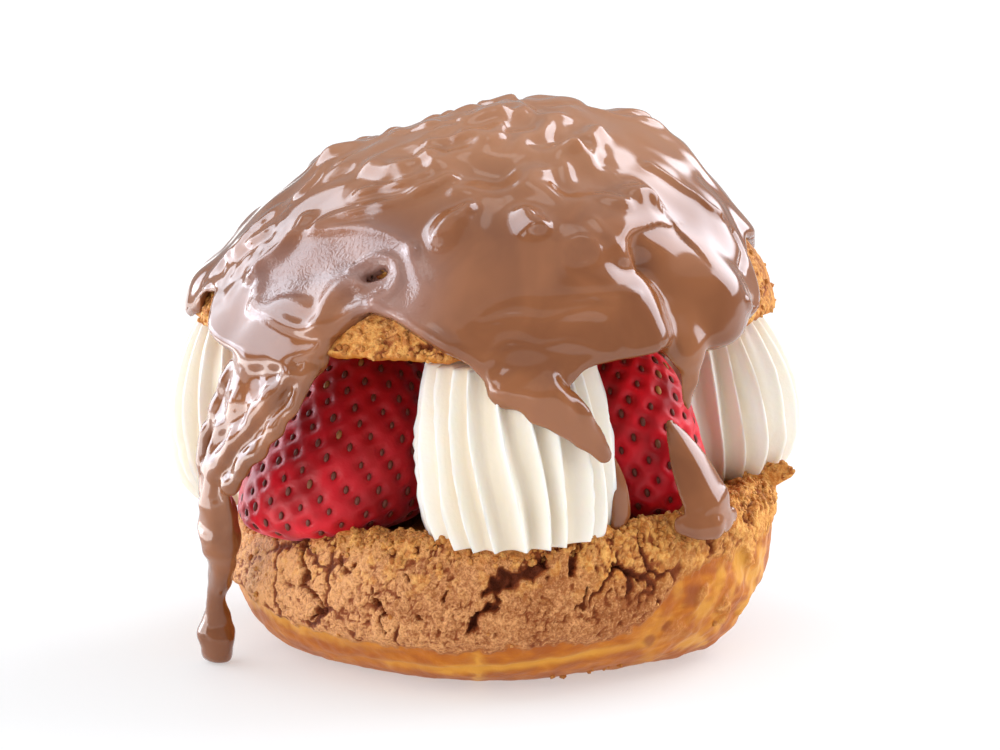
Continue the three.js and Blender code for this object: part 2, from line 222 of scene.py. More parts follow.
class Noise:
    """Seeded noise over points in space."""

    CORNERS = tuple(product((0, 1), repeat=3))
    NEIGHBOURS = tuple(product((-1, 0, 1), repeat=3))

    def __init__(self, seed: int) -> None:
        """Draws the tables that the noise is made from.

        Args:
            seed: Start of the random draw.
        """
        draw = np.random.default_rng(seed)
        self.shuffle = draw.permutation(256)
        directions = draw.normal(size=(256, 3))
        self.directions = directions / np.linalg.norm(directions, axis=1, keepdims=True)
        self.spots = draw.random((256, 3))

    def _entry(self, cell: Array) -> Array:
        """Looks up grid cells in the tables.

        Args:
            cell: Three whole numbers for each cell.

        Returns:
            Each cell's entry, from 0 to 255.
        """
        mixed = self.shuffle[cell[:, 0] & 255]
        mixed = self.shuffle[(mixed + cell[:, 1]) & 255]
        return self.shuffle[(mixed + cell[:, 2]) & 255]

    def smooth(self, points: Array, size: float) -> Array:
        """Gives rolling noise.

        Args:
            points: Points in space.
            size: Size of its hills.

        Returns:
            Values from about -1 to 1.
        """
        scaled = points / size
        cell = np.floor(scaled).astype(int)
        local = scaled - cell
        fade = local**3 * (local * (local * 6 - 15) + 10)
        total = np.zeros(len(points))
        for corner in self.CORNERS:
            slope = np.einsum("ij,ij->i", self.directions[self._entry(cell + corner)], local - corner)
            total += np.where(corner, fade, 1 - fade).prod(axis=1) * slope
        return total * 1.7

    def layered(self, points: Array, size: float, layers: int = 3) -> Array:
        """Gives rolling noise with finer noise on it.

        Args:
            points: Points in space.
            size: Size of the largest hills.
            layers: Number of noises, each half the size and height of the one before.

        Returns:
            Values from about -1 to 1.
        """
        shares = [0.5**layer for layer in range(layers)]
        total = sum(share * self.smooth(points + 31.7 * share, size * share) for share in shares)
        return total / math.sqrt(sum(share * share for share in shares))

    def cells(self, points: Array, size: float) -> tuple[Array, Array, Array]:
        """Splits space into uneven cells.

        Args:
            points: Points in space.
            size: Usual breadth of a cell.

        Returns:
            Distance to the middle of the point's own cell and on to the next cell's, as shares
            of the size, and a value from 0 to 1 that belongs to the cell.
        """
        scaled = points / size
        cell = np.floor(scaled).astype(int)
        own = np.full(len(points), np.inf)
        other = np.full(len(points), np.inf)
        value = np.zeros(len(points))
        for step in self.NEIGHBOURS:
            entry = self._entry(cell + step)
            apart = np.linalg.norm(cell + step + self.spots[entry] - scaled, axis=1)
            closer = apart < own
            other = np.where(closer, own, np.minimum(other, apart))
            own = np.where(closer, apart, own)
            value = np.where(closer, entry / 255, value)
        return own, other, value


# Meshes


def new_object(name: str, data: bpy.types.ID) -> Piece:
    """Puts an object into the scene.

    Args:
        name: Name of the object.
        data: Its mesh, lamp or camera.

    Returns:
        The object, at the origin.
    """
    piece = bpy.data.objects.new(name, data)
    bpy.context.scene.collection.objects.link(piece)
    return piece


def make_piece(
    name: str,
    points: Array,
    faces: Sequence[Array],
    values: dict[str, Array],
    material: Material | None = None,
) -> Piece:
    """Makes a smooth mesh object.

    Args:
        name: Name of the piece.
        points: Corners in millimetres.
        faces: Arrays of faces, each array with one number of corners.
        values: Numbers for the corners, stored under these names for the materials.
        material: Its finish, unless a tree gives it one.

    Returns:
        The object, at the origin.
    """
    mesh = bpy.data.meshes.new(name)
    mesh.from_pydata((points * MM).tolist(), [], [face for group in faces for face in group.tolist()])
    for label, numbers in values.items():
        store = mesh.attributes.new(label, "FLOAT", "POINT")
        store.data.foreach_set("value", np.ascontiguousarray(numbers, np.float32))
    mesh.shade_smooth()
    if material:
        mesh.materials.append(material)
    return new_object(name, mesh)


def plain_mesh(piece: Piece) -> None:
    """Turns what a piece's modifiers make into its own mesh.

    Args:
        piece: Object with modifiers, which are removed.
    """
    graph = bpy.context.evaluated_depsgraph_get()
    mesh = bpy.data.meshes.new_from_object(piece.evaluated_get(graph))
    mesh.name = piece.name
    piece.modifiers.clear()
    piece.data = mesh


def hand_over(piece: Piece, slot: Slot, node: str | None = None) -> None:
    """Ties a finished piece to the frame and reports it.

    Args:
        piece: Finished object.
        slot: Material slot that it takes its finish from; not used.
        node: Node of the frame that it stands for, if any.
    """
    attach(piece, BODY)
    if node:
        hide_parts(node)
    LOG.info("%s: %d faces", piece.name, len(piece.data.polygons))


def turned_piece(
    name: str, points: Array, columns: int, poles: Array, values: dict[str, Array], material: Material
) -> Piece:
    """Joins rings of points and a pole at either end into a closed piece.

    Args:
        name: Name of the piece.
        points: Points ring by ring, from the bottom up or from the inside out and up.
        columns: Points in a ring, turning to the right as seen from the front.
        poles: The lower pole and the upper one.
        values: Numbers for the points, stored under these names. They are 0 at the poles.
        material: Its finish.

    Returns:
        The object, at the origin.
    """
    rows = len(points) // columns
    ring = np.arange(columns)
    onward = np.roll(ring, -1)
    base = columns * np.arange(rows - 1)[:, None]
    quads = np.stack([base + ring, base + onward, base + columns + onward, base + columns + ring], axis=-1)
    low = rows * columns
    last = low - columns
    bottom = np.stack([np.full(columns, low), onward, ring], axis=-1)
    top = np.stack([np.full(columns, low + 1), last + ring, last + onward], axis=-1)
    faces = [quads.reshape(-1, 4), np.vstack([bottom, top])]
    padded = {label: np.append(numbers, np.zeros(2)) for label, numbers in values.items()}
    return make_piece(name, np.vstack([points, poles]), faces, padded, material)


def grid_normals(grid: Array) -> Array:
    """Gives the outward directions of rings of points.

    Args:
        grid: Points as rows, columns and coordinates.

    Returns:
        Unit vectors in the same layout.
    """
    across = np.roll(grid, -1, axis=1) - np.roll(grid, 1, axis=1)
    normal = np.cross(across, np.gradient(grid, axis=0))
    return normal / np.maximum(np.linalg.norm(normal, axis=-1, keepdims=True), 1e-9)


def skin_of(
    field_at: Callable[[Array], Array], low: Array, high: Array, step: float
) -> tuple[Array, Array]:
    """Finds the skin where a field changes sign.

    Args:
        field_at: Gives the field at points: about their distance from the skin, less than 0 inside.
        low: Lowest corner of the space searched.
        high: Highest corner of it.
        step: Breadth of the search grid's cells.

    Returns:
        Points on the skin, and faces of four of them.
    """
    counts = np.ceil((high - low) / step).astype(int) + 1
    values = np.empty(counts, np.float32)
    block = 6
    starts = (np.arange(0, count, block) for count in counts)
    blocks = np.stack(np.meshgrid(*starts, indexing="ij"), -1).reshape(-1, 3)
    middles = field_at(low + step * (blocks + block / 2))
    # Only blocks whose middle is near the skin can hold any of it.
    near = np.abs(middles) < 1.6 * block * step
    for (i, j, k), value in zip(blocks[~near], middles[~near]):
        values[i : i + block, j : j + block, k : k + block] = value
    offsets = np.array(list(product(range(block), repeat=3)))
    at_once = 2000
    for some in np.array_split(blocks[near], max(1, near.sum() // at_once)):
        spots = (some[:, None, :] + offsets).reshape(-1, 3)
        spots = spots[(spots < counts).all(axis=1)]
        values[tuple(spots.T)] = field_at(low + step * spots)
    inside = values < 0
    corners = np.array(list(product((0, 1), repeat=3)))
    span = counts - 1
    views = [inside[x : x + span[0], y : y + span[1], z : z + span[2]] for x, y, z in corners]
    filled = sum(view.astype(np.int8) for view in views)
    mixed = (filled > 0) & (filled < 8)
    cells = np.argwhere(mixed)
    number = np.full(mixed.shape, -1)
    number[mixed] = np.arange(len(cells))
    heights = [values[tuple((cells + corner).T)] for corner in corners]
    total = np.zeros((len(cells), 3))
    hits = np.zeros(len(cells))
    for a, b in product(range(8), repeat=2):
        if a >= b or np.abs(corners[a] - corners[b]).sum() != 1:
            continue
        crossing = (heights[a] < 0) != (heights[b] < 0)
        share = np.where(crossing, heights[a] / np.where(crossing, heights[a] - heights[b], 1), 0)
        total += crossing[:, None] * (corners[a] + share[:, None] * (corners[b] - corners[a]))
        hits += crossing
    points = low + step * (cells + total / hits[:, None])
    faces = []
    for axis in range(3):
        one, two = [n for n in range(3) if n != axis]
        first = np.moveaxis(inside, axis, 0)[:-1]
        second = np.moveaxis(inside, axis, 0)[1:]
        spots = np.argwhere(first != second)
        spots = spots[(spots[:, 1:] > 0).all(axis=1)]
        flip = first[tuple(spots.T)] != (axis == 1)
        loop = []
        for back_one, back_two in ((1, 1), (0, 1), (0, 0), (1, 0)):
            cell = np.empty_like(spots)
            cell[:, axis] = spots[:, 0]
            cell[:, one] = spots[:, 1] - back_one
            cell[:, two] = spots[:, 2] - back_two
            loop.append(number[tuple(cell.T)])
        quads = np.stack(loop, axis=1)
        faces.append(np.where(flip[:, None], quads, quads[:, ::-1]))
    return points, np.vstack(faces)


def pull_to_skin(field_at: Callable[[Array], Array], points: Array, rounds: int = 2) -> Array:
    """Moves points along a field's slope until they lie on its skin.

    Args:
        field_at: The field.
        points: Points close to its skin.
        rounds: How often they are moved.

    Returns:
        The moved points.
    """
    reach = 0.12
    gentlest = 0.5
    farthest = 0.4
    for _ in range(rounds):
        ways = [field_at(points + step) - field_at(points - step) for step in np.eye(3) * reach]
        slope = np.stack(ways, axis=1) / (2 * reach)
        steepness = np.maximum((slope * slope).sum(axis=1), gentlest**2)
        move = np.clip(field_at(points) / steepness, -farthest, farthest)
        points = points - move[:, None] * slope
    return points


# Node trees


class Graph:
    """Adds nodes to a node tree and joins their sockets."""

    def __init__(self, tree: bpy.types.NodeTree) -> None:
        """Takes the tree that the nodes go into."""
        self.tree = tree

    def add(self, kind: str, inputs: dict | None = None, **settings: object) -> bpy.types.Node:
        """Adds a node.

        Args:
            kind: Type of node.
            inputs: Sockets or values for its inputs, by name or number.
            **settings: Values for its own properties.

        Returns:
            The node.
        """
        node = self.tree.nodes.new(kind)
        for name, value in settings.items():
            setattr(node, name, value)
        for key, value in (inputs or {}).items():
            if isinstance(value, Socket):
                self.tree.links.new(value, node.inputs[key])
            else:
                node.inputs[key].default_value = value
        return node

    def out(self, kind: str, inputs: dict | None = None, **settings: object) -> Socket:
        """Adds a node and gives its first output."""
        return self.add(kind, inputs, **settings).outputs[0]

    def math(self, operation: str, *values: object) -> Socket:
        """Adds a sum of one, two or three values and gives its result."""
        return self.out("ShaderNodeMath", dict(enumerate(values)), operation=operation)

    def blend(self, share: object, low: object, high: object) -> Socket:
        """Adds a mix of two colours and gives its result."""
        return self.add("ShaderNodeMix", {0: share, 6: low, 7: high}, data_type="RGBA").outputs[2]

    def ramp(self, value: object, low: float, high: float, start: float = 0, end: float = 1) -> Socket:
        """Adds a smooth step from start, where the value is low, to end, where it is high."""
        inputs = {0: value, 1: low, 2: high, 3: start, 4: end}
        return self.out("ShaderNodeMapRange", inputs, interpolation_type="SMOOTHSTEP")

    def noise(self, spot: object, size: float, detail: float = 2, twist: float = 0) -> Socket:
        """Adds noise whose hills have a size in millimetres and gives its value."""
        inputs = {"Vector": spot, "Scale": 1 / (size * MM), "Detail": detail, "Distortion": twist}
        return self.out("ShaderNodeTexNoise", inputs)


class Surface(Graph):
    """A material with one Principled shader and a few ways to feed it."""

    def __init__(self, name: str) -> None:
        """Makes an empty material.

        Args:
            name: Name of the material.
        """
        self.material = bpy.data.materials.new(name)
        self.material.use_nodes = True
        super().__init__(self.material.node_tree)
        self.shader = self.tree.nodes["Principled BSDF"]
        self.spot = self.add("ShaderNodeTexCoord").outputs["Object"]

    def value(self, name: str) -> Socket:
        """Gives a number stored on the piece's corners."""
        return self.add("ShaderNodeAttribute", attribute_name=name).outputs["Fac"]

    def feed(self, **inputs: object) -> None:
        """Sets or links inputs of the shader.

        Args:
            **inputs: Values or sockets. A name's underscores stand for spaces.
        """
        for name, value in inputs.items():
            socket = self.shader.inputs[name.replace("_", " ")]
            if isinstance(value, Socket):
                self.tree.links.new(value, socket)
            else:
                socket.default_value = value

    def roughen(self, height: object, depth: float) -> None:
        """Adds bump from a height that stands for a depth in millimetres."""
        normal = self.out("ShaderNodeBump", {"Distance": depth * MM, "Height": height})
        self.tree.links.new(normal, self.shader.inputs["Normal"])


class Recipe(Graph):
    """A geometry node tree with named inputs."""

    def __init__(self, name: str) -> None:
        """Makes an empty tree.

        Args:
            name: Name of the tree.
        """
        super().__init__(bpy.data.node_groups.new(name, "GeometryNodeTree"))
        for way in ("INPUT", "OUTPUT"):
            self.tree.interface.new_socket("Geometry", in_out=way, socket_type="NodeSocketGeometry")
        self.entry = self.tree.nodes.new("NodeGroupInput")
        self.geometry = self.entry.outputs[0]
        self.keys: dict[str, str] = {}

    def size(self, name: str, kind: str = "Float") -> Socket:
        """Adds a named input.

        Args:
            name: Name of the input.
            kind: Kind of socket.

        Returns:
            Its socket inside the tree.
        """
        item = self.tree.interface.new_socket(name, in_out="INPUT", socket_type=f"NodeSocket{kind}")
        self.keys[name] = item.identifier
        return self.entry.outputs[name]

    def vary(self, low: object, high: object, seed: object) -> Socket:
        """Adds a random number for each element and gives its socket."""
        inputs = {2: low, 3: high, "Seed": seed}
        return self.add("FunctionNodeRandomValue", inputs, data_type="FLOAT").outputs[1]

    def close(self, shape: Socket, material: Material) -> None:
        """Ends the tree with real meshes, smooth shading and a material.

        Args:
            shape: What the tree has made.
            material: Finish of all of it.
        """
        real = self.out("GeometryNodeRealizeInstances", {0: shape})
        even = self.out("GeometryNodeSetShadeSmooth", {"Geometry": real})
        dressed = self.out("GeometryNodeSetMaterial", {"Geometry": even, "Material": material})
        self.add("NodeGroupOutput", {0: dressed})

    def make(self, piece: Piece, sizes: dict[str, object]) -> None:
        """Runs the tree on a piece, whose own mesh the result becomes.

        Args:
            piece: Object whose mesh the tree starts from.
            sizes: Values for the named inputs.
        """
        modifier = piece.modifiers.new(self.tree.name, "NODES")
        modifier.node_group = self.tree
        for name, value in sizes.items():
            modifier[self.keys[name]] = value
        plain_mesh(piece)


# Finishes


@dataclass(frozen=True)
class ChocolateFinish:
    """Poured milk chocolate, still wet."""

    deep: Colour = srgb(126, 73, 39)
    pale: Colour = srgb(146, 89, 51)
    thin: Colour = srgb(166, 113, 78)
    # Pale lavender of a painted reflection, laid on the wrinkled swirl.
    sheen: Colour = srgb(205, 200, 216)
    roughness: tuple[float, float] = (0.07, 0.13)
    index: float = 1.58
    # Heights between which it turns paler towards the top, partly thin chocolate and partly painted light
    # from above, and how strongly a pale painted reflection is laid on its wrinkles.
    thin_span: tuple[float, float] = (74.0, 90.0)
    sheen_share: float = 0.14

    def make(self) -> Material:
        """Builds the material.

        Returns:
            The material.
        """
        surface = Surface("milk_chocolate")
        streaks = surface.noise(surface.spot, 14, 3, 0.6)
        colour = surface.blend(surface.ramp(streaks, 0.35, 0.65), self.deep, self.pale)
        height = surface.add("ShaderNodeSeparateXYZ", {0: surface.spot}).outputs[2]
        low, high = (level * MM for level in self.thin_span)
        # Paler towards the top: partly thin chocolate over crust, partly painted light from above.
        colour = surface.blend(surface.ramp(height, low, high), colour, self.thin)
        # Painted reflection: the wrinkled swirl is blended towards pale lavender, as if it mirrored a
        # bright window.
        sheen = surface.math("MULTIPLY", surface.value("crinkle"), self.sheen_share)
        colour = surface.blend(sheen, colour, self.sheen)
        film = surface.noise(surface.spot, 5, 2)
        roughness = surface.ramp(film, 0.3, 0.7, *self.roughness)
        surface.feed(Base_Color=colour, Roughness=roughness, IOR=self.index, Subsurface_Weight=0.1)
        surface.feed(Subsurface_Radius=(0.6, 0.3, 0.2), Subsurface_Scale=2 * MM)
        crinkles = surface.noise(surface.spot, 1.7, 2, 3.0)
        waves = surface.noise(surface.spot, 6, 1)
        crinkles = surface.math("MULTIPLY", crinkles, surface.value("crinkle"))
        surface.roughen(surface.math("MULTIPLY_ADD", waves, 0.4, crinkles), 0.12)
        return surface.material


@dataclass(frozen=True)
class PastryFinish:
    """Baked choux with a sandy, crackled crust."""

    sand: Colour = srgb(229, 165, 106)
    toast: Colour = srgb(161, 94, 48)
    # Ember and crack brown serve for scorched spots and for painted shade in hollows and cracks.
    ember: Colour = srgb(142, 70, 29)
    crack: Colour = srgb(108, 48, 22)
    gild_and_light: Colour = srgb(242, 182, 98)
    honey: Colour = srgb(212, 134, 58)
    gold: Colour = srgb(190, 107, 10)
    amber: Colour = srgb(168, 86, 10)
    blush: Colour = srgb(224, 160, 60)

    def make(self) -> Material:
        """Builds the material.

        Returns:
            The material.
        """
        surface = Surface("choux_pastry")
        broad = surface.noise(surface.spot, 8, 3)
        grain = surface.noise(surface.spot, 0.9, 3)
        fine = surface.noise(surface.spot, 0.35, 2)
        speckle = surface.math("MULTIPLY_ADD", grain, 0.4, surface.math("MULTIPLY", broad, 0.15))
        speckle = surface.math("MULTIPLY_ADD", fine, 0.45, speckle)
        # This value darkens the crust towards toast: painted shade on the right side of the bottom half,
        # and a random toast for each crumb.
        speckle = surface.math("MULTIPLY_ADD", surface.value("toast_and_shade"), -0.2, speckle)
        crust = surface.blend(surface.ramp(speckle, 0.27, 0.57), self.toast, self.sand)
        golden = surface.blend(surface.ramp(grain, 0.35, 0.65), self.honey, self.gild_and_light)
        # Golden crust: partly its own colour, partly painted light that makes the right side paler.
        crust = surface.blend(surface.math("MULTIPLY", surface.value("gild_and_light"), 0.85), crust, golden)
        # Painted shade: hollows, cracks and seams darken to ember and then to crack brown.
        hollow = surface.value("hollow")
        crust = surface.blend(surface.ramp(hollow, 0.1, 0.5), crust, self.ember)
        crust = surface.blend(surface.ramp(hollow, 0.45, 1.0), crust, self.crack)
        stretched = surface.out("ShaderNodeMapping", {0: surface.spot, 3: (1, 1, 2.4)})
        streaks = surface.noise(stretched, 5, 5, 0.4)
        choux = surface.blend(surface.ramp(streaks, 0.34, 0.64), self.amber, self.gold)
        pale = surface.math("MULTIPLY_ADD", surface.ramp(streaks, 0.58, 0.8), 0.6, surface.value("crease"))
        choux = surface.blend(surface.math("MINIMUM", pale, 0.8), choux, self.blush)
        choux = surface.blend(surface.value("scorch"), choux, self.ember)
        share = surface.value("crust")
        colour = surface.blend(share, choux, crust)
        roughness = surface.ramp(share, 0, 1, 0.45, 0.75)
        surface.feed(Base_Color=colour, Roughness=roughness, Specular_IOR_Level=0.3)
        surface.feed(Subsurface_Weight=0.1, Subsurface_Radius=(1.0, 0.5, 0.2), Subsurface_Scale=1.2 * MM)
        grit = surface.math("MULTIPLY_ADD", fine, 0.6, grain)
        depth = surface.math("MULTIPLY", grit, surface.ramp(share, 0, 1, 0.2, 1))
        surface.roughen(depth, 0.5)
        return surface.material


@dataclass(frozen=True)
class CreamFinish:
    """Whipped cream."""

    white: Colour = srgb(244, 242, 236)
    ivory: Colour = srgb(241, 236, 225)
    shade: Colour = srgb(234, 221, 199)

    def make(self) -> Material:
        """Builds the material.

        Returns:
            The material.
        """
        surface = Surface("whipped_cream")
        cloud = surface.noise(surface.spot, 12, 2)
        colour = surface.blend(cloud, self.ivory, self.white)
        deep = surface.math("POWER", surface.value("valley"), 1.6)
        surface.feed(Base_Color=surface.blend(deep, colour, self.shade), Roughness=0.42)
        surface.feed(Subsurface_Weight=0.4, Subsurface_Radius=(1.0, 0.8, 0.5), Subsurface_Scale=1.2 * MM)
        surface.roughen(surface.noise(surface.spot, 0.8, 2), 0.06)
        return surface.material


@dataclass(frozen=True)
class BerryFinish:
    """Skin of a ripe strawberry."""

    red: Colour = srgb(232, 22, 42)
    # Deep red for random patches, and for painted shade in the pits and where the berry meets the cream.
    deep: Colour = srgb(150, 6, 15)
    sheen: Colour = srgb(255, 150, 166)
    # Painted shade: where the skin is darkest, at the side that meets the cream, over what distances that
    # fades, and how strong it is.
    shade_x: float = -10.0
    shade_reach: tuple[float, float] = (4.0, 28.0)
    shade_share: float = 0.8

    def make(self) -> Material:
        """Builds the material.

        Returns:
            The material.
        """
        surface = Surface("strawberry_skin")
        patches = surface.noise(surface.spot, 7, 2)
        colour = surface.blend(surface.ramp(patches, 0.3, 0.75), self.red, self.deep)
        # Painted shade: the skin darkens towards the side where the front left berry meets the cream.
        sideways = surface.out("ShaderNodeSeparateXYZ", {0: surface.spot})
        apart = surface.math("ABSOLUTE", surface.math("ADD", sideways, -self.shade_x * MM))
        near, far = (reach * MM for reach in self.shade_reach)
        colour = surface.blend(surface.ramp(apart, near, far, self.shade_share, 0), colour, self.deep)
        # Painted shade: the skin is darker red in the pits round the seeds.
        colour = surface.blend(surface.value("pit"), colour, self.deep)
        surface.feed(Base_Color=colour, Roughness=0.42, IOR=1.36)
        surface.feed(Sheen_Weight=0.65, Sheen_Roughness=0.4, Sheen_Tint=self.sheen)
        surface.feed(Subsurface_Weight=0.15, Subsurface_Radius=(1.0, 0.2, 0.15), Subsurface_Scale=2 * MM)
        surface.roughen(surface.noise(surface.spot, 1.2, 2), 0.12)
        return surface.material


@dataclass(frozen=True)
class SeedFinish:
    """Dry seeds, from dark brown to straw yellow."""

    dark: Colour = srgb(100, 42, 26)
    straw: Colour = srgb(196, 138, 66)

    def make(self) -> Material:
        """Builds the material.

        Returns:
            The material.
        """
        surface = Surface("strawberry_seed")
        tone = surface.ramp(surface.value("tone"), 0.95, 1.03)
        surface.feed(Base_Color=surface.blend(tone, self.dark, self.straw), Roughness=0.55)
        return surface.material


@dataclass(frozen=True)
class TableFinish:
    """White table top that glows a little, and more at the far left."""

    dim: Colour = srgb(186, 186, 186)
    pale: Colour = srgb(190, 190, 190)
    light: Colour = (1.0, 1.0, 1.0, 1.0)
    glow: float = 0.44
    spill: float = 0.9
    spill_span: tuple[float, float] = (-160.0, -85.0)

    def make(self) -> Material:
        """Builds the material.

        Returns:
            The material.
        """
        surface = Surface("white_table")
        mottle = surface.noise(surface.spot, 400, 1)
        colour = surface.blend(mottle, self.dim, self.pale)
        surface.feed(Base_Color=colour, Roughness=0.6, Specular_IOR_Level=0.2)
        sideways = surface.out("ShaderNodeSeparateXYZ", {0: surface.spot})
        far, near = (x * MM for x in self.spill_span)
        spill = surface.ramp(sideways, far, near, self.glow + self.spill, self.glow)
        surface.feed(Emission_Color=self.light, Emission_Strength=spill)
        return surface.material


# Pieces


@dataclass(frozen=True)
class Dome:
    """Form of the upper half: a leaning superellipse of revolution, cut off flat."""

    centre: float = 50.0
    radius: float = 50.3
    rise: float = 40.6
    power: float = 1.8
    under: float = 57.2
    # How the underside climbs to the right and to the back.
    climb: tuple[float, float] = (0.01, 0.03)
    lean_low: float = -1.1
    lean_rate: float = 0.18
    lean_from: float = 60.0

    def lean(self, z: Array) -> Array:
        """Gives the sideways shift of the dome's axis at a height."""
        return self.lean_low + self.lean_rate * (z - self.lean_from)

    def surface(self, azimuth: Array, turn: Array, grow: float = 0.0) -> Array:
        """Gives points on the dome.

        Args:
            azimuth: Azimuths.
            turn: Angles from the level of its centre, 0, to its top, 90 degrees.
            grow: How far outside the pastry they lie.

        Returns:
            The points.
        """
        level = np.sign(turn) * np.abs(np.sin(np.radians(turn))) ** (2 / self.power)
        out = np.abs(np.cos(np.radians(turn))) ** (2 / self.power)
        points = around(azimuth, (self.radius + grow) * out, self.centre + (self.rise + grow) * level)
        points[..., 0] += self.lean(points[..., 2])
        return points

    def turn_at(self, z: Array, grow: float = 0.0) -> Array:
        """Gives the angle at which the dome reaches a height."""
        level = np.clip((z - self.centre) / (self.rise + grow), -1, 1)
        return np.sign(level) * np.degrees(np.arcsin(np.abs(level) ** (self.power / 2)))

    def bearings(self, points: Array, grow: float = 0.0) -> tuple[Array, Array]:
        """Finds the spots on the dome that points are over.

        Args:
            points: Points in space.
            grow: How far outside the pastry the spots lie.

        Returns:
            Their azimuths and their angles from the level of the dome's centre.
        """
        x = points[:, 0] - self.lean(points[:, 2])
        out = (np.hypot(x, points[:, 1]) / (self.radius + grow)) ** (self.power / 2)
        level = (points[:, 2] - self.centre) / (self.rise + grow)
        level = np.sign(level) * np.abs(level) ** (self.power / 2)
        return np.degrees(np.arctan2(x, -points[:, 1])), np.degrees(np.arctan2(level, out))

    def distance(self, points: Array, grow: float = 0.0) -> Array:
        """Measures about how far points are outside the dome.

        Args:
            points: Points in space.
            grow: How far the dome is grown first.

        Returns:
            The distances, less than 0 inside.
        """
        radius, rise, power = self.radius + grow, self.rise + grow, self.power
        out = np.hypot(points[:, 0] - self.lean(points[:, 2]), points[:, 1]) / radius + 1e-6
        level = np.abs(points[:, 2] - self.centre) / rise + 1e-6
        size = (out**power + level**power) ** (1 / power)
        slope = np.hypot((out / size) ** (power - 1) / radius, (level / size) ** (power - 1) / rise)
        return (size - 1) / slope


@dataclass(frozen=True)
class Ring:
    """The seat of the filling, which rises to the right, and the room over it."""

    lid: Dome
    z: float = 25.2
    slope: float = 0.055
    gap: float = 0.3

    def place(self, points: Array) -> Array:
        """Tilts points from the seat's own frame into the part's.

        Args:
            points: Points in the seat's frame.

        Returns:
            Points in the part's frame.
        """
        turn = math.atan(self.slope)
        x, y, z = points[..., 0], points[..., 1], points[..., 2]
        across = x * math.cos(turn) - z * math.sin(turn)
        up = x * math.sin(turn) + z * math.cos(turn) + self.z
        return np.stack((across, y, up), axis=-1)

    def room(self, x: float, y: float, breadth: float) -> float:
        """Gives the height free between the seat and the lid for a piece of some breadth."""
        under = self.lid.under + self.lid.climb[0] * x + self.lid.climb[1] * y
        return under - self.z - self.slope * (x + breadth) - 2 * self.gap


@dataclass(frozen=True)
class Stroke:
    """A ridge drawn on the dome, or a groove where its rise is less than 0.

    Its path has azimuths and heights. One point alone is a lump or a pit. To the right of the
    path's way the slope can have a width of its own.
    """

    rise: float
    width: float
    path: Steps
    right_width: float = 0.0


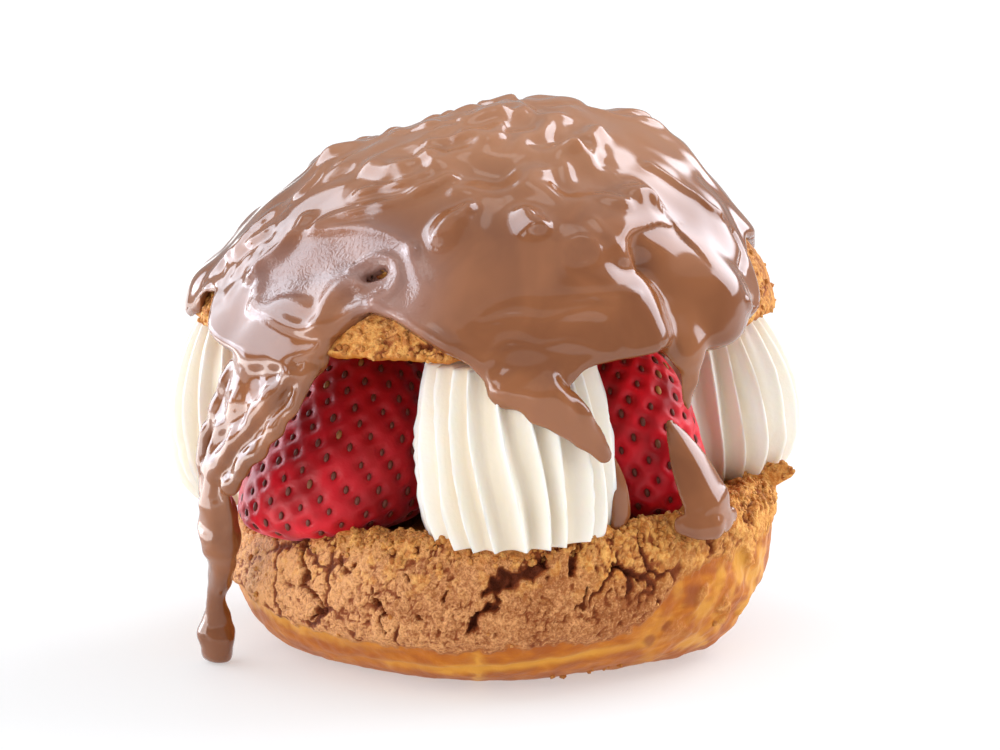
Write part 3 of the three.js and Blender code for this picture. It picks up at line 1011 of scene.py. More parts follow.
@dataclass
class Relief:
    """How far the chocolate stands off its even thickness, as a map over the dome."""

    dome: Dome
    thickness: float = 2.0
    columns: int = 1080
    rows: int = 330
    lowest: float = -18.0
    # How far the chocolate can sink before the pastry under it gives way.
    slack: float = 0.9
    # Height of the brow, above which the chocolate lies thin over crags of crust.
    brow: Steps = (
        (-150, 80), (-110, 79), (-70, 80), (-40, 80.5), (-15, 79.5), (10, 79), (26, 78.4), (33, 81),
        (40, 88), (60, 91), (80, 89), (100, 83), (130, 79), (170, 80),
    )
    strokes: tuple[Stroke, ...] = (
        # Coated crumbs in front
        Stroke(2.4, 2.6, ((-12.2, 75.0), (-10.4, 76.6))),
        Stroke(1.3, 1.5, ((-8.8, 78.4),)),
        Stroke(0.8, 1.2, ((-13.6, 74.0),)),
        Stroke(2.3, 2.4, ((5.6, 76.8), (7.0, 75.6))),
        Stroke(0.9, 1.2, ((9.2, 74.9),)),
        Stroke(0.7, 1.1, ((4.0, 77.6),)),
        # Swirl on the left with a small hole in it
        Stroke(-1.2, 5.0, ((-50, 66.5), (-42, 68.5), (-34, 70.0), (-27, 69.0))),
        Stroke(0.8, 1.2, (
            (-52, 64.5), (-54.5, 69.5), (-50, 73.0), (-40, 74.8), (-28.5, 74.8), (-18.7, 72.2),
        )),
        Stroke(0.8, 1.6, ((-18.7, 72.2), (-13.8, 68.0), (-13.5, 64.0))),
        Stroke(1.5, 1.9, ((-31.7, 61.6), (-31.5, 64.6), (-30, 67.0), (-27, 67.6))),
        Stroke(0.9, 0.9, (
            (-30.5, 69.4), (-27, 71.0), (-22.5, 70.9), (-19.5, 68.8), (-19.5, 66.2), (-22, 65.0),
        )),
        Stroke(-3.4, 0.85, ((-26.0, 68.3), (-23.8, 69.0))),
        Stroke(1.1, 1.5, (
            (-50, 62.6), (-41, 61.4), (-33, 60.0), (-28.7, 62.3), (-25.5, 64.0), (-21, 64.6),
        )),
        Stroke(0.9, 1.3, ((-21, 64.6), (-16, 63.2), (-9.5, 60.6), (-6.4, 59.2))),
        # Streaks on the left
        Stroke(1.3, 1.3, ((-55.5, 66.0), (-53.5, 68.8), (-51.5, 71.6), (-53, 75.0))),
        Stroke(0.7, 1.1, ((-70, 69.4), (-64.5, 72.0))),
        Stroke(0.8, 1.2, ((-67, 78.2), (-70, 80.4), (-75, 82.5))),
        Stroke(0.6, 1.6, ((-76, 64), (-72, 70), (-74, 75))),
        # Terraces of the upper left
        Stroke(0.9, 1.3, ((-46.5, 74.9), (-40.6, 77.1), (-31.8, 78.5), (-23.7, 80.2), (-17.5, 82.4))),
        Stroke(0.8, 1.1, ((-43.4, 80.0), (-36.5, 81.0), (-29.7, 81.9), (-25.9, 82.6))),
        Stroke(0.7, 1.2, ((-66.4, 87.9), (-53.3, 89.2), (-38.7, 90.1))),
        Stroke(0.7, 1.0, ((-36.4, 87.0), (-29.1, 87.6), (-22.4, 87.9))),
        # Lumps of the upper left and right
        Stroke(1.4, 2.6, ((-49, 83.5), (-42, 83.5))),
        Stroke(1.2, 2.0, ((-36, 84.2),)),
        Stroke(1.5, 1.9, ((-30, 85.0), (-26, 84.4))),
        Stroke(2.2, 2.0, ((22, 86.6),)),
        Stroke(1.5, 1.8, ((36, 87.8), (44, 88.4))),
        Stroke(1.2, 1.7, ((26, 78.8), (28.6, 77.9))),
        Stroke(1.6, 2.2, ((34, 79.2), (38, 79.4))),
        Stroke(1.0, 1.6, ((40.4, 78.0),)),
        # Fold on the right of the front, and the hollow behind it
        Stroke(3.8, 9.0, (
            (24.6, 72.4), (21.4, 71.6), (20, 69.8), (21.6, 67.4), (25.2, 64.8), (28.2, 61.8),
            (29.8, 59.4),
        ), 5.8),
        Stroke(-2.0, 2.0, ((29.8, 71.8), (32, 69.8))),
        Stroke(-0.9, 2.2, ((32.4, 69.4), (35.4, 66.8), (37.4, 64), (37.6, 60.6), (37.4, 58))),
        Stroke(1.0, 4.0, ((36.4, 79), (38, 74), (40.6, 68.6), (46, 65.2), (56, 63)), 5.0),
        # Ripples of the front lobe
        Stroke(0.36, 0.9, ((-4.2, 61.2), (2.2, 65.6), (9.8, 65.8), (17.7, 65.3), (23.9, 65.5), (27, 64.9))),
        Stroke(0.42, 0.9, (
            (-0.8, 61.9), (4.5, 62.9), (10.1, 62.8), (15.7, 63.3), (21.7, 62.7), (22.8, 60.6),
            (24.9, 58),
        )),
        Stroke(0.4, 0.9, ((2.0, 56.7), (5.0, 59.7), (10.6, 58.8), (16.0, 59.1), (21.8, 57.6))),
        Stroke(0.22, 0.6, (
            (13.7, 72.6), (17.1, 73.0), (20.4, 71.7), (19.6, 69.6), (15.7, 69.0), (13.7, 70.5),
            (13.7, 72.6),
        )),
        Stroke(0.3, 0.7, ((20.8, 75.6), (23.0, 73.1), (25.9, 70.5))),
        # Right lobe
        Stroke(2.0, 5.0, ((47.5, 67), (49, 62), (49, 57)), 8.0),
        Stroke(0.6, 0.9, ((55, 61.8), (57, 60.8))),
        Stroke(0.6, 0.9, ((62, 60.4), (64.5, 60.2))),
        Stroke(0.3, 1.8, ((42, 56.6), (52, 56.6), (60, 58.2), (66, 60.5))),
        Stroke(0.8, 1.0, ((52.1, 83.6), (55.6, 81.2), (59.9, 77.1), (63.7, 75.3))),
        Stroke(-0.6, 0.9, ((67.5, 71.8), (66.9, 69.4), (62, 67))),
        # Outline of the dome
        Stroke(2.4, 9.0, ((95, 86),)),
        Stroke(2.0, 3.6, ((-86, 83.4),)),
        Stroke(1.0, 3.8, ((-106, 62), (-94, 62.4), (-82, 63))),
        Stroke(-1.6, 8.0, ((-100, 90),)),
    )
    # Where the chocolate is wrinkled, which is also where a pale painted reflection is laid.
    swirl: Stroke = Stroke(1.0, 6.0, ((-48, 66.5), (-40, 69.5), (-30, 71), (-20, 69), (-18, 65)))
    heights: Array = field(init=False)
    crinkles: Array = field(init=False)

    def __post_init__(self) -> None:
        """Works the map out."""
        azimuth = np.linspace(-180, 180, self.columns, endpoint=False)
        turn = np.linspace(self.lowest, 90, self.rows)
        azimuth, turn = (grid.ravel() for grid in np.meshgrid(azimuth, turn))
        points = self.dome.surface(azimuth, turn, self.thickness)
        shape = (self.rows, self.columns)
        noise = Noise(11)
        crags = softened(self.crags(noise, azimuth, points).reshape(shape), 26).ravel()
        height = crags + self.flows(noise, azimuth, points)
        drift = np.stack([noise.smooth(points + shift, 6) for shift in (0, 40, 80)], axis=1)
        wavering = points + 0.7 * drift
        for stroke in self.strokes:
            height += self.drawn(stroke, wavering)
        self.heights = height.reshape(shape)
        self.crinkles = np.minimum(1.4 * self.drawn(self.swirl, points), 1).reshape(shape)

    def drawn(self, stroke: Stroke, points: Array) -> Array:
        """Works out one stroke.

        Args:
            stroke: The stroke.
            points: Points of the dome.

        Returns:
            Its height at the points.
        """
        knots = np.array(stroke.path, float)
        turns = self.dome.turn_at(knots[:, 1], self.thickness)
        places = self.dome.surface(knots[:, 0], turns, self.thickness)
        path = smooth_path(places, 6 * len(places)) if len(places) > 1 else places
        middle = path.mean(axis=0)
        reach = np.linalg.norm(path - middle, axis=1).max() + 3 * max(stroke.width, stroke.right_width)
        near = np.linalg.norm(points - middle, axis=1) < reach
        height = np.zeros(len(points))
        apart, place = nearest_on_path(points[near], path)
        width = np.full(len(apart), stroke.width)
        if stroke.right_width:
            nearest = path[np.rint(place).astype(int)]
            onward = np.gradient(path, axis=0)[np.rint(place).astype(int)]
            outward = nearest - np.array([0, 0, self.dome.centre])
            rightward = np.einsum("ij,ij->i", points[near] - nearest, np.cross(outward, onward))
            width = np.where(rightward > 0, stroke.right_width, width)
        height[near] = stroke.rise * np.exp(-((apart / width) ** 2))
        return height

    def crags(self, noise: Noise, azimuth: Array, points: Array) -> Array:
        """Works out the lumps of crust that show through above the brow.

        Args:
            noise: Noise that they are made from.
            azimuth: Azimuths of the points.
            points: Points of the dome.

        Returns:
            Their heights.
        """
        above = smoothstep(-1.5, 2.5, points[:, 2] - curve_round(azimuth, self.brow))
        drift = np.stack([noise.smooth(points + shift, 7) for shift in (0, 20, 60)], axis=1)
        warped = points + 2.0 * drift
        own, other, value = noise.cells(warped, 8.5)
        plates = smoothstep(0.04, 0.4, other - own) * (0.35 + value)
        ridges = 1 - 2 * np.abs(noise.smooth(warped * np.array([0.6, 0.6, 1.7]), 7))
        above = above * (1 - 0.45 * bump(azimuth, -55, 60))
        return above * (1.2 * plates + 1.3 * ridges + 0.3 * noise.smooth(points, 3.2) - 0.7)

    def flows(self, noise: Noise, azimuth: Array, points: Array) -> Array:
        """Works out the slow waves of chocolate that has run down.

        Args:
            noise: Noise that they are made from.
            azimuth: Azimuths of the points.
            points: Points of the dome.

        Returns:
            Their heights.
        """
        drawn_out = points * np.array([1, 1, 0.35])
        below = 1 - smoothstep(-4, 2, points[:, 2] - curve_round(azimuth, self.brow))
        behind = 1 - bump(azimuth, 0, 110)
        edge = bump(azimuth, -67, 16) * smoothstep(59, 62, points[:, 2]) * smoothstep(77, 73, points[:, 2])
        waves = 0.5 * noise.smooth(points, 17) + below * (0.25 + 0.5 * behind) * noise.smooth(drawn_out, 7)
        return waves + 0.4 * edge * noise.layered(points + 11, 3.6, 2)

    def sink(self, rise: Array) -> Array:
        """Gives how far the pastry gives way under chocolate of some rise."""
        return np.minimum(rise + self.slack, 0)

    def sample(self, grid: Array, azimuth: Array, turn: Array) -> Array:
        """Reads a map between its points.

        Args:
            grid: The map, as rows and columns.
            azimuth: Azimuths where it is read.
            turn: Angles from the level of the dome's centre.

        Returns:
            Its values there.
        """
        column = (azimuth + 180) % 360 / 360 * self.columns
        row = np.clip((turn - self.lowest) / (90 - self.lowest), 0, 1) * (self.rows - 1)
        left = column.astype(int) % self.columns
        low = np.minimum(row.astype(int), self.rows - 2)
        right = (left + 1) % self.columns
        across, up = column - np.floor(column), row - low
        lower = grid[low, left] * (1 - across) + grid[low, right] * across
        upper = grid[low + 1, left] * (1 - across) + grid[low + 1, right] * across
        return lower * (1 - up) + upper * up


@dataclass(frozen=True)
class Run:
    """Chocolate that has run down in a strand.

    Steps are azimuth, distance from the axis, height and half width. Flatness is the depth as a
    share of the width. Its section is an ellipse at roundness 2, with a sharper crest below that.
    """

    flatness: float
    steps: Steps
    roundness: float = 2.0
    blend: float = 2.2

    def distance(self, points: Array) -> Array:
        """Measures about how far points are outside the strand.

        Args:
            points: Points in space.

        Returns:
            The distances, or a large number for points that are far off.
        """
        steps = np.array(self.steps)
        places = around(steps[:, 0], steps[:, 1], steps[:, 2])
        path = smooth_path(np.column_stack([places, steps[:, 3]]), 8 * len(steps))
        margin = path[:, 3].max() + 4
        low, high = path[:, :3].min(axis=0) - margin, path[:, :3].max(axis=0) + margin
        near = ((points > low) & (points < high)).all(axis=1)
        result = np.full(len(points), FAR)
        if not near.any():
            return result
        close = points[near]
        _, place = nearest_on_path(close, path[:, :3])
        index = np.arange(len(path))
        spot = np.stack([np.interp(place, index, path[:, k]) for k in range(3)], axis=1)
        width = np.interp(place, index, path[:, 3])
        outward = spot * np.array([1, 1, 0])
        outward /= np.linalg.norm(outward, axis=1, keepdims=True)
        away = close - spot
        depth = np.einsum("ij,ij->i", away, outward)
        straight = np.linalg.norm(away, axis=1) + 1e-6
        aside = np.sqrt(np.maximum(straight**2 - depth**2, 0)) + 1e-6
        power = self.roundness
        bent = (aside**power + (np.abs(depth) / self.flatness) ** power) ** (1 / power)
        result[near] = (bent - width) * straight / bent
        return result


@dataclass
class ChocolateCoat:
    """Chocolate poured over the lid, with its runs."""

    dome: Dome
    relief: Relief
    thickness: float
    material: Material
    step: float = 0.5
    quick_step: float = 0.8
    margin: float = 4.0
    # Rounding of the lower edge: azimuth and length.
    lip: Steps = (
        (-130, 2.6), (-98, 5.5), (-82, 5), (-72, 1.8), (-60, 2), (-50, 2.6), (0, 2.4), (34, 2.6),
        (48, 6), (62, 6), (74, 3), (120, 2.6),
    )
    bead: float = 0.35
    # Small ripples of the runs, and the heights over which they set in.
    ripple: float = 0.6
    ripple_span: tuple[float, float] = (57.0, 52.0)
    ripples: Noise = field(default_factory=lambda: Noise(3))
    most_faces: int = 190_000
    # Lower edge of the coat: azimuth and height.
    edge: Steps = (
        (-178, 52.5), (-170, 54), (-158, 58.5), (-148, 61.5), (-134, 59), (-122, 55.5), (-110, 56.4),
        (-100, 55.6), (-90, 55.6), (-80, 56.4), (-75, 58.6), (-71.6, 61.6), (-68.4, 62.2), (-65.4, 61.2),
        (-63, 58.8), (-60.6, 57), (-57, 55.8), (-53, 54.8), (-48, 54), (-40, 53), (-33, 54),
        (-29.8, 55.6), (-28.4, 57.6), (-26.6, 59.6), (-25.1, 61.1), (-23.2, 62.2), (-21.3, 62.6),
        (-17.5, 62), (-14.2, 60.8), (-11, 59.3), (-8.3, 58.1), (-5.4, 57.1), (-2.7, 56.2), (-0.8, 55.2),
        (0.6, 53.7), (2, 51.8), (3.6, 50.3), (6.1, 49.3), (8.8, 48.9), (12, 48.8), (14.6, 49.6),
        (16.6, 51.6), (18.6, 54), (20.4, 55.2), (23, 55.8), (27, 56.3), (31.3, 56.8), (34.2, 57),
        (36.9, 56.5), (43.8, 55.4), (50.3, 55.1), (56.7, 55.9), (63.3, 57.4), (66.3, 58.6), (68.3, 60),
        (70, 62.4), (72, 66), (75, 69), (82, 69.8), (92, 69), (102, 65), (110, 59), (118, 57),
        (128, 56.5), (140, 60), (150, 61.5), (160, 59), (172, 54),
    )
    runs: tuple[Run, ...] = (
        # Long strands at the left
        Run(0.26, (
            (-40, 48.5, 57, 7.2), (-43, 50.4, 53.6, 7), (-46, 51.8, 48.1, 6.8), (-49.8, 52.8, 42, 6),
            (-53.4, 53.3, 37.1, 4.6), (-56, 53.4, 32.5, 3.4), (-57, 52.8, 26.2, 3.6),
        ), 2.6),
        Run(0.8, (
            (-48, 49.4, 56, 2.2), (-53, 51.2, 52.2, 1.6), (-56, 52.8, 46.4, 1.4),
            (-59.4, 53.6, 40.2, 1.4), (-60.6, 54, 35.2, 1.4), (-60, 53.8, 30, 1.6),
        ), 2, 1.3),
        Run(0.9, (
            (-37, 52, 52.6, 1.6), (-42.6, 53.4, 47, 1.5), (-48.6, 54.2, 41, 1.3), (-54, 54.6, 36, 1.5),
            (-57.4, 54.4, 30.6, 1.8), (-57.6, 53.6, 25, 2.2),
        ), 2, 1.2),
        Run(0.8, (
            (-34, 51, 53.4, 1.5), (-36, 52.6, 48.8, 1.4), (-40.4, 53.4, 43.2, 1.4),
            (-46.4, 53.9, 37.8, 1.4), (-52, 53.8, 32.6, 1.5),
        ), 2, 1.3),
        Run(0.8, (
            (-48, 52.4, 51, 1.2), (-50.6, 53.4, 46, 1.3), (-55.4, 54.2, 40, 1.2), (-57.6, 54.4, 35, 1.4),
        ), 2, 1.2),
        Run(0.8, (
            (-57, 52.8, 27, 3.2), (-58, 52.4, 22.5, 3.8), (-59.3, 51.8, 18.4, 2.9), (-63, 51.1, 12, 1.9),
            (-64.2, 50.8, 8.4, 1.75), (-65, 50.6, 6, 1.9),
        )),
        Run(1.0, (
            (-64, 50.8, 10, 1.9), (-64.7, 50.7, 7, 2.4), (-65, 50.6, 4.6, 3.1), (-65, 50.6, 2.5, 2.9),
        ), 2, 1.2),
        # Tip of the front lobe
        Run(0.62, (
            (7, 51, 53, 4.4), (9.5, 52.6, 50.4, 4), (13.6, 52.9, 47.6, 3.2), (17.4, 52.4, 44.4, 2.4),
            (19.8, 51.8, 41.8, 1.7), (20.5, 51.6, 41, 1.5),
        )),
        # Right
        Run(0.62, (
            (39, 46.4, 60, 3.8), (39, 50, 55.6, 3.2), (39.6, 50.2, 52.4, 2.1), (40.4, 49.4, 48.6, 1.3),
            (41, 48.8, 46.8, 0.7),
        )),
        # Back
        Run(0.6, ((183, 47.8, 59, 5), (181, 52.6, 51, 4), (177, 53.2, 40, 2.3))),
        Run(0.65, ((119, 47.4, 60, 4.4), (121, 50.8, 52, 2.9), (122, 50.8, 43.5, 1.7))),
        Run(0.65, ((-126, 47.4, 60, 4.4), (-127, 51.2, 52, 3), (-128, 50.6, 46, 1.8))),
    )

    def sides(self, points: Array) -> tuple[Array, Array, Array]:
        """Works out the coat without its runs.

        Args:
            points: Points in space.

        Returns:
            The fields of its outside, of its inside and of its lower edge.
        """
        azimuth, turn = self.dome.bearings(points, self.thickness)
        edge = curve_round(azimuth, self.edge)
        rise = self.relief.sample(self.relief.heights, azimuth, turn)
        rise = rise + self.bead * np.exp(-(((points[:, 2] - edge - 1.5) / 2.2) ** 2))
        outer = self.dome.distance(points, self.thickness) - rise
        inner = self.dome.distance(points) - self.relief.sink(rise)
        step = curve_round(azimuth + 0.4, self.edge) - curve_round(azimuth - 0.4, self.edge)
        steepness = step / (np.radians(0.8) * self.dome.radius)
        return outer, inner, (edge - points[:, 2]) / np.sqrt(1 + steepness**2)

    def field_at(self, points: Array) -> Array:
        """Works out the coat with its runs, cut off at the floor.

        Args:
            points: Points in space.

        Returns:
            Its field.
        """
        outer, inner, below = self.sides(points)
        lip = curve_round(np.degrees(np.arctan2(points[:, 0], -points[:, 1])), self.lip)
        total = soft_max(soft_max(outer, below, lip), -inner, 0.4)
        for run in self.runs:
            total = soft_min(total, run.distance(points), run.blend)
        drip = points[:, 2] < self.ripple_span[0]
        share = smoothstep(*self.ripple_span, points[drip, 2])
        total[drip] -= self.ripple * self.ripples.smooth(points[drip], 3.8) * share
        return soft_max(total, 0.15 - points[:, 2], 0.6)

    def build(self) -> None:
        """Makes and dresses the coat."""
        step = self.step
        low, high = (np.array(corner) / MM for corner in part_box("chocolate_coat"))
        points, faces = skin_of(self.field_at, low - self.margin, high + self.margin, step)
        points = pull_to_skin(self.field_at, points)
        azimuth, turn = self.dome.bearings(points, self.thickness)
        # The crinkle share sets the wrinkles' bump and the pale painted reflection on them.
        values = {"crinkle": self.relief.sample(self.relief.crinkles, azimuth, turn)}
        piece = make_piece("chocolate_glaze", points, [faces], values, self.material)
        outer, _, _ = self.sides(points)
        self.thin_out(piece, np.flatnonzero((outer < -0.7) & (points[:, 2] > self.dome.under)))
        hand_over(piece, Slot.CHOCOLATE, "chocolate_coat")

    def thin_out(self, piece: Piece, hidden: Array) -> None:
        """Takes faces away where the coat lies against the lid.

        Args:
            piece: The coat.
            hidden: Corners that lie against the lid.
        """
        triangles = 2 * len(piece.data.polygons)
        if triangles <= self.most_faces:
            return
        group = piece.vertex_groups.new(name="hidden")
        group.add(hidden.tolist(), 1.0, "REPLACE")
        modifier = piece.modifiers.new("thin", "DECIMATE")
        modifier.vertex_group = group.name
        modifier.vertex_group_factor = 1000
        modifier.ratio = self.most_faces / triangles
        plain_mesh(piece)
        flat = np.empty(3 * len(piece.data.vertices), np.float32)
        piece.data.vertices.foreach_get("co", flat)
        points = flat.reshape(-1, 3).astype(float) / MM
        astray = np.abs(self.field_at(points)) > 0.3
        points[astray] = self.dome.surface(*self.dome.bearings(points[astray]))
        piece.data.vertices.foreach_set("co", (points * MM).astype(np.float32).ravel())


@dataclass
class LooseRuns:
    """Chocolate that has come away from the coat and rests on the filling."""

    material: Material
    step: float = 0.4
    margin: float = 5.0
    blend: float = 1.2
    runs: tuple[tuple[str, tuple[Run, ...]], ...] = (
        ("chocolate_run_wide", (
            Run(0.38, (
                (42, 43.8, 43, 0.9), (42.8, 45, 40.6, 2.4), (44, 46.8, 36.5, 4.1),
                (45.6, 48.8, 31.4, 5.1), (46.4, 49.6, 29.6, 5),
            ), 1.3),
            Run(0.5, ((39.4, 49, 27.4, 1.6), (42.6, 50.4, 26.4, 1.7), (46, 51, 26.2, 1.7))),
            Run(0.5, ((46, 50.8, 26.6, 1.7), (50, 50.2, 26.6, 1.8), (53.2, 49.4, 27, 1.6))),
        )),
        ("chocolate_run_narrow", (
            Run(0.6, (
                (26.5, 43.2, 39, 0.8), (28.4, 43.6, 34, 1.5), (29, 43.8, 29.6, 1.7),
                (28.4, 43.8, 27.4, 1.4),
            )),
        )),
    )

    def build(self) -> None:
        """Makes and dresses the runs."""
        for node, parts in self.runs:
            form = partial(self.field_at, parts)
            low, high = (np.array(corner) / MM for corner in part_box(node))
            points, faces = skin_of(form, low - self.margin, high + self.margin, self.step)
            points = pull_to_skin(form, points)
            values = {"crinkle": np.zeros(len(points))}
            piece = make_piece(node.replace("run", "drip"), points, [faces], values, self.material)
            hand_over(piece, Slot.CHOCOLATE, node)

    def field_at(self, parts: tuple[Run, ...], points: Array) -> Array:
        """Works out one run.

        Args:
            parts: The strands that it is made of.
            points: Points in space.

        Returns:
            Its field.
        """
        total = parts[0].distance(points)
        for part in parts[1:]:
            total = soft_min(total, part.distance(points), self.blend)
        return total


class CrustGrain:
    """Relief of the sandy crust: grains, pits and a net of cracks."""

    def __init__(self, seed: int) -> None:
        """Draws the noise that the crust is made from."""
        self.noise = Noise(seed)

    def relief(self, points: Array) -> tuple[Array, Array, Array]:
        """Works out the crust at points.

        Args:
            points: Points on the bare form.

        Returns:
            How far the crust stands out, how much painted shade it takes in hollows, cracks and
            seams, from 0 to 1, and a value from 0 to 1 for the crumb that it belongs to.
        """
        noise = self.noise
        drift = np.stack([noise.layered(points + shift, 2.6, 2) for shift in (0, 25, 70)], axis=1)
        own, other, _ = noise.cells(points + 1.1 * drift, 9.5)
        split = smoothstep(0.0, 0.4, noise.smooth(points, 14))
        crack = split * (1 - smoothstep(0.015, 0.085, other - own))
        jitter = np.stack([noise.smooth(points + shift, 0.9) for shift in (5, 35, 65)], axis=1)
        crumb_own, crumb_other, crumb = noise.cells(points + 0.4 * jitter, 1.55)
        seam = 1 - smoothstep(0.03, 0.25, crumb_other - crumb_own)
        loose = 0.25 + 0.75 * smoothstep(-0.4, 0.4, noise.smooth(points + 3, 6))
        grain_own, _, grain_value = noise.cells(points, 0.95)
        grain = (0.5 - grain_own) * (0.35 + 0.55 * grain_value)
        grain = grain + loose * (0.38 * (crumb - 0.4) - 0.26 * seam)
        pits = smoothstep(0.45, 0.75, noise.smooth(points + 9, 1.5))
        lumps = 0.3 * noise.smooth(points, 6) + 0.2 * noise.smooth(points, 2.8)
        height = grain + lumps - 0.5 * pits - 0.9 * crack
        # Painted shade: cracks, pits, seams between crumbs and sunken spots are marked darker.
        sunken = smoothstep(0.1, 0.5, -grain - 0.5 * lumps)
        dark = 0.85 * crack + 0.45 * pits + 0.28 * loose * seam + 0.3 * sunken
        return height, np.clip(dark, 0, 1), crumb


@dataclass
class ChouxBase:
    """Lower half of the bun, with its crackled crust."""

    material: Material
    radius: float = 45.6
    foot_radius: float = 29.5
    rim: float = 25.0
    # How deep the flat top lies under the rim.
    well: float = 0.9
    shift: float = 3.0
    columns: int = 760
    side_rows: int = 116
    crowding: float = 20.0
    thickness: float = 1.2
    # Side where the crust is broken: azimuth and reach in degrees.
    bare_side: tuple[float, float] = (62, 45)
    # Crease round the foot: its height in front and how it climbs with the azimuth.
    belt: tuple[float, float] = (5.4, 0.05)
    # Height of the rim over its usual height: azimuth and height.
    rim_rise: Steps = (
        (-150, 0), (-110, -0.5), (-80, -1.2), (-66, -0.6), (-54, 0), (-42, 0.2), (-30, 0.2), (-18, 0.3),
        (-5, 0), (8, 0), (20, 0.6), (35, 0.8), (55, 0.4), (75, 0), (90, 0), (150, 0),
    )
    # A shard of crust on the rim: azimuth, half breadth in degrees, how far it stands out and up.
    shard: tuple[float, float, float, float] = (84, 1.4, 5.2, 1.2)
    # How low the crust comes: azimuth and height.
    crust_foot: Steps = (
        (-170, 11), (-140, 9), (-110, 10), (-85, 11), (-63, 10.7), (-53, 9.3), (-41, 8.2), (-26, 8),
        (-14, 8.6), (6, 9.2), (24, 9.3), (30, 11), (34, 14), (41, 18), (54, 18.5), (66, 19), (85, 20),
        (105, 18), (130, 14), (155, 12),
    )
    # Deep cracks: depth, half width, and a path of azimuths and heights.
    cracks: tuple[tuple[float, float, Steps], ...] = (
        (1.7, 0.75, ((-47.3, 24.5), (-45.3, 21), (-42.9, 19.8), (-44.8, 17))),
        (1.6, 0.5, ((-44.2, 16.8), (-41.8, 16.4), (-38.7, 15), (-37.9, 13.6), (-41.7, 11.8))),
        (1.5, 0.4, ((-26.8, 18), (-24.8, 16), (-23.9, 14.4), (-25.1, 12.8), (-23.7, 11.3))),
        (2.2, 1.2, ((-3.1, 18.7), (-1.1, 20), (2.7, 20.9), (7.3, 21.7))),
        (2.0, 0.8, ((-6.4, 13.2), (-4.2, 14.8), (-1.9, 15.8))),
        (1.5, 0.45, ((-1.9, 15.8), (-1.5, 17.3), (-2.8, 18.9))),
        (1.8, 0.8, ((12.3, 20.8), (13.5, 22.5), (14.9, 23.9))),
        (1.4, 0.5, ((21.3, 20.8), (23.9, 20), (26.8, 19))),
        (1.3, 0.4, ((15.9, 17.8), (14.9, 15.1))),
        (1.1, 0.5, ((-11.6, 18.2), (-10.8, 17.2))),
        (1.1, 0.4, ((-20.6, 21), (-19.4, 20))),
        (1.1, 0.4, ((-16.9, 14.4), (-16, 13.6))),
        (1.1, 0.4, ((-36, 22), (-33.5, 21.2), (-31.3, 21.7))),
        (1.0, 0.35, ((-50.5, 13.4), (-49.2, 12.4))),
        (1.0, 0.35, ((-52, 19), (-50, 16.5), (-47.5, 16.8))),
        (1.2, 0.5, ((44, 23), (46, 21), (45, 19.5))),
        (1.2, 0.5, ((60, 24), (58, 21.5))),
    )
    # Scorched spots on the bare choux: azimuth, height and size.
    scorches: Steps = ((42.7, 14.1, 2.6), (34, 7.6, 1.6), (37, 9.5, 1.0))

    def profile(self) -> tuple[Array, slice]:
        """Draws half of the section.

        Returns:
            Distances from the axis and heights, and which of them are on the side.
        """
        radius, rim = self.radius, self.rim
        shares = (
            (0.79, 1.1), (0.9, 4), (0.955, 7), (0.99, 10), (1.01, 13), (1.015, 16), (1.01, 19), (1, 21.8),
        )
        side = [(self.foot_radius, 0.0), *((radius * share, z) for share, z in shares)]
        side += [(radius * 0.975, rim - 0.9), (radius * 0.935, rim), (radius * 0.88, rim - 0.4)]
        side_path = smooth_path(side, self.side_rows)
        under = np.column_stack([np.linspace(0.2, 0.9, 3) * self.foot_radius, np.zeros(3)])
        inner = np.linspace(0.85, 0.08, 9) * radius
        top = np.column_stack([inner, np.full(9, rim - self.well)])
        return np.vstack([under, side_path, top]), slice(3, 3 + self.side_rows)

    def build(self) -> tuple[Piece, Array]:
        """Makes and dresses the lower half.

        Returns:
            The finished piece, and how thick crumbs lie at its corners.
        """
        path, side_rows = self.profile()
        azimuth = np.linspace(-180, 180, self.columns, endpoint=False)
        azimuth = azimuth - self.crowding * np.sin(np.radians(azimuth))
        grid = around(azimuth[None, :], path[:, :1], path[:, 1:])
        normals = grid_normals(grid).reshape(-1, 3)
        points = grid.reshape(-1, 3)
        bearing = np.tile(azimuth, len(path))
        out, z = np.hypot(points[:, 0], points[:, 1]), points[:, 2]
        side = smoothstep(self.foot_radius, self.radius * 0.9, out)
        bare_side = bump(bearing, *self.bare_side)
        grain = CrustGrain(5)
        noise = grain.noise
        ragged = 0.9 * noise.smooth(points, 3) + 0.6 * noise.smooth(points, 1.3)
        foot = curve_round(bearing, self.crust_foot) + ragged
        patches = smoothstep(0.25, 0.45, noise.layered(points + 7, 7, 3)) * bare_side * smoothstep(6, 10, z)
        crust = np.maximum(smoothstep(-0.45, 0.45, z - foot), patches) * side
        body = np.maximum(smoothstep(-0.8, 2.4, z - foot), 0.6 * patches) * side
        relief, hollow, crumb = grain.relief(points)
        relief = relief * (1 - 0.4 * bump(bearing, -45, 45))
        carved = self.carved(bearing, points)
        rim_share = smoothstep(self.rim - 3.5, self.rim - 0.5, z) * side
        chunks = 0.9 * noise.smooth(points, 4) + 0.8 * noise.layered(points, 1.9, 2)
        blisters = (0.3 + 0.5 * bare_side) * noise.layered(points, 6, 3) + 0.15 * noise.smooth(points, 2.2)
        belt = -0.35 * np.exp(-((self.above_belt(bearing, z) / 0.5) ** 2)) * bump(bearing, -5, 60)
        swell = side * 1.2 * noise.smooth(points, 30)
        bare = side * (1 - body) * (blisters + belt)
        spread = swell + body * (self.thickness + relief - carved) + bare + 0.5 * rim_share * chunks
        points = points + spread[:, None] * normals
        share = z / self.rim
        points[:, 0] += self.shift * side * (0.4 + 0.6 * share)
        points[:, 2] += Ring.slope * points[:, 0] * share**2
        ragged_rim = (0.6 - 0.3 * bump(bearing, -55, 40)) * chunks
        points[:, 2] += rim_share * (curve_round(bearing, self.rim_rise) + ragged_rim)
        points += self.shard_push(bearing, z, noise, points)
